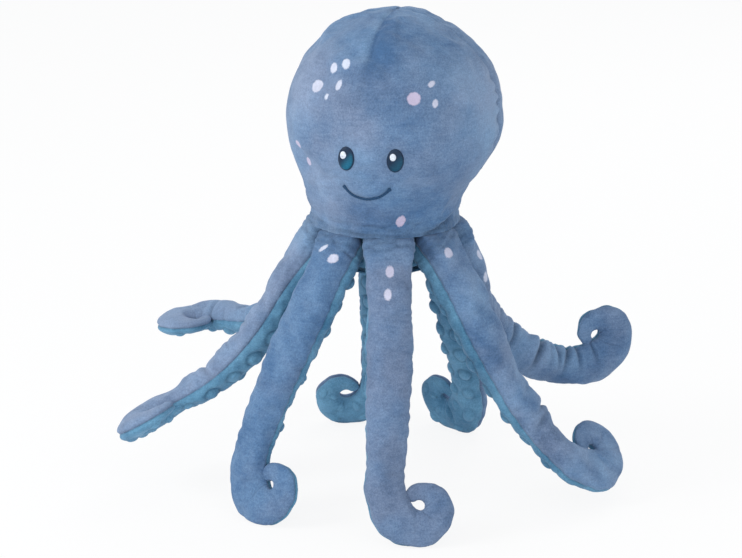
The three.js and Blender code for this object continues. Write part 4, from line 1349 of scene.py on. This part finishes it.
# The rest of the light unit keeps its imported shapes.
CASE, STEEL = moulded("case_plastic", rgb(233, 231, 224), 0.45).material, metal("steel")
LED, CELL = resin(), cell_wrap()
FINISHES = {
    "battery_case": CASE,
    "battery_door": CASE,
    "switch_body": moulded("switch_plastic", rgb(60, 64, 70), 0.5).material,
    "push_button": moulded("button_plastic", rgb(63, 127, 174), 0.4).material,
    "diffuser": diffuser_look(),
    "circuit_board": laminate(),
    "door_screw": STEEL,
    **{f"contact_{end}_{kind}": STEEL for end in ("front", "back") for kind in ("pair", "single")},
    **{f"led_{number}": LED for number in (1, 2, 3)},
    **{f"battery_{number}": CELL for number in (1, 2, 3)},
}
spring(STEEL)
for node, look in FINISHES.items():
    frame["nodes"][node].material_slots[0].material = look

# Camera, in degrees, metres and millimetres.
CAMERA_AZIMUTH = 16
CAMERA_ELEVATION = 17
CAMERA_DISTANCE = 2.2
CAMERA_LENS = 127.07
CAMERA_SENSOR = 36
AIM_LEFT = 12
AIM_BELOW_SEAM = 53.2
AIM_SLOPE = 0.29


def facing(obj, place, aim):
    obj.location = place
    obj.rotation_euler = (Vector(place) - Vector(aim)).to_track_quat("Z", "Y").to_euler()


def camera():
    turn, rise = math.radians(CAMERA_AZIMUTH), math.radians(CAMERA_ELEVATION)
    right = Vector((math.cos(turn), math.sin(turn), 0))
    back = Vector((math.sin(turn), -math.cos(turn), 0))
    axis = Vector((*AXIS, 0))
    height = SEAM_Z - AIM_BELOW_SEAM - AIM_SLOPE * axis.dot(back)
    target = (right * (axis.dot(right) - AIM_LEFT) + Vector(UP) * height) * MM
    away = back * math.cos(rise) + Vector(UP) * math.sin(rise)
    obj = linked("camera", bpy.data.cameras.new("camera"))
    facing(obj, target + away * CAMERA_DISTANCE, target)
    obj.data.lens = CAMERA_LENS
    obj.data.sensor_width = CAMERA_SENSOR
    bpy.context.scene.camera = obj


camera()

# Lamps, in metres and watts: place, height aimed at, size, power and colour.
LAMPS = {
    "key": ((-1.6, -1.1, 1.4), 0.22, 1.0, 21, (1, 0.99, 0.97)),
    "fill": ((1.5, -1.4, 0.8), 0.22, 1.4, 6, (0.96, 0.98, 1)),
    "low": ((0.0, -1.9, 0.25), 0.1, 1.6, 9, (1, 1, 1)),
    "rim": ((0.3, 1.6, 1.4), 0.22, 1.2, 7, (1, 1, 1)),
}
WORLD_LIGHT = 0.68
FLOOR_REACH = 6.0
FLOOR_SEEN_WHITE = 0.88


def lamp(name, place, aim_height, size, power, colour):
    data = bpy.data.lights.new(name, "AREA")
    data.shape = "DISK"
    data.size = size
    data.energy = power
    data.color = colour
    facing(linked(name, data), place, (0, 0, aim_height))


# The world lights the object softly and is plain white where it is seen.
def studio():
    world = bpy.data.worlds.new("studio")
    bpy.context.scene.world = world
    world.use_nodes = True
    nodes = Nodes(world.node_tree)
    seen = world.node_tree.nodes["Background"]
    seen.inputs["Color"].default_value = (1, 1, 1, 1)
    seen.inputs["Strength"].default_value = 1.0
    lit = nodes.node("ShaderNodeBackground", Color=(0.93, 0.96, 1, 1), Strength=WORLD_LIGHT)
    mirrored = nodes.maths("MAXIMUM", nodes.ray("Glossy"), nodes.ray("Transmission"))
    share = nodes.maths("MAXIMUM", nodes.ray("Camera"), mirrored)
    nodes.feed(world.node_tree.nodes["World Output"].inputs["Surface"], nodes.mixed_shaders(share, lit, seen))


# The floor takes the object's shadow and is nearly white to the camera.
def floor():
    look = Look("floor")
    look.set(Base_Color=look.blend(look.noise(300), rgb(246, 247, 248), rgb(250, 250, 250)), Roughness=0.9)
    glow = look.node("ShaderNodeEmission", Strength=1.0)
    seen = look.mixed_shaders(look.times(look.ray("Camera"), FLOOR_SEEN_WHITE), look.shader, glow)
    look.feed(look.tree.nodes["Material Output"].inputs["Surface"], seen)
    corners = [(x * FLOOR_REACH, y * FLOOR_REACH, 0) for x, y in ((-1, -1), (1, -1), (1, 1), (-1, 1))]
    mesh = bpy.data.meshes.new("floor")
    mesh.from_pydata(corners, [], [(0, 1, 2, 3)])
    mesh.materials.append(look.material)
    linked("floor", mesh)


for name, row in LAMPS.items():
    lamp(name, *row)
studio()
floor()
bpy.context.scene.view_settings.view_transform = "Standard"
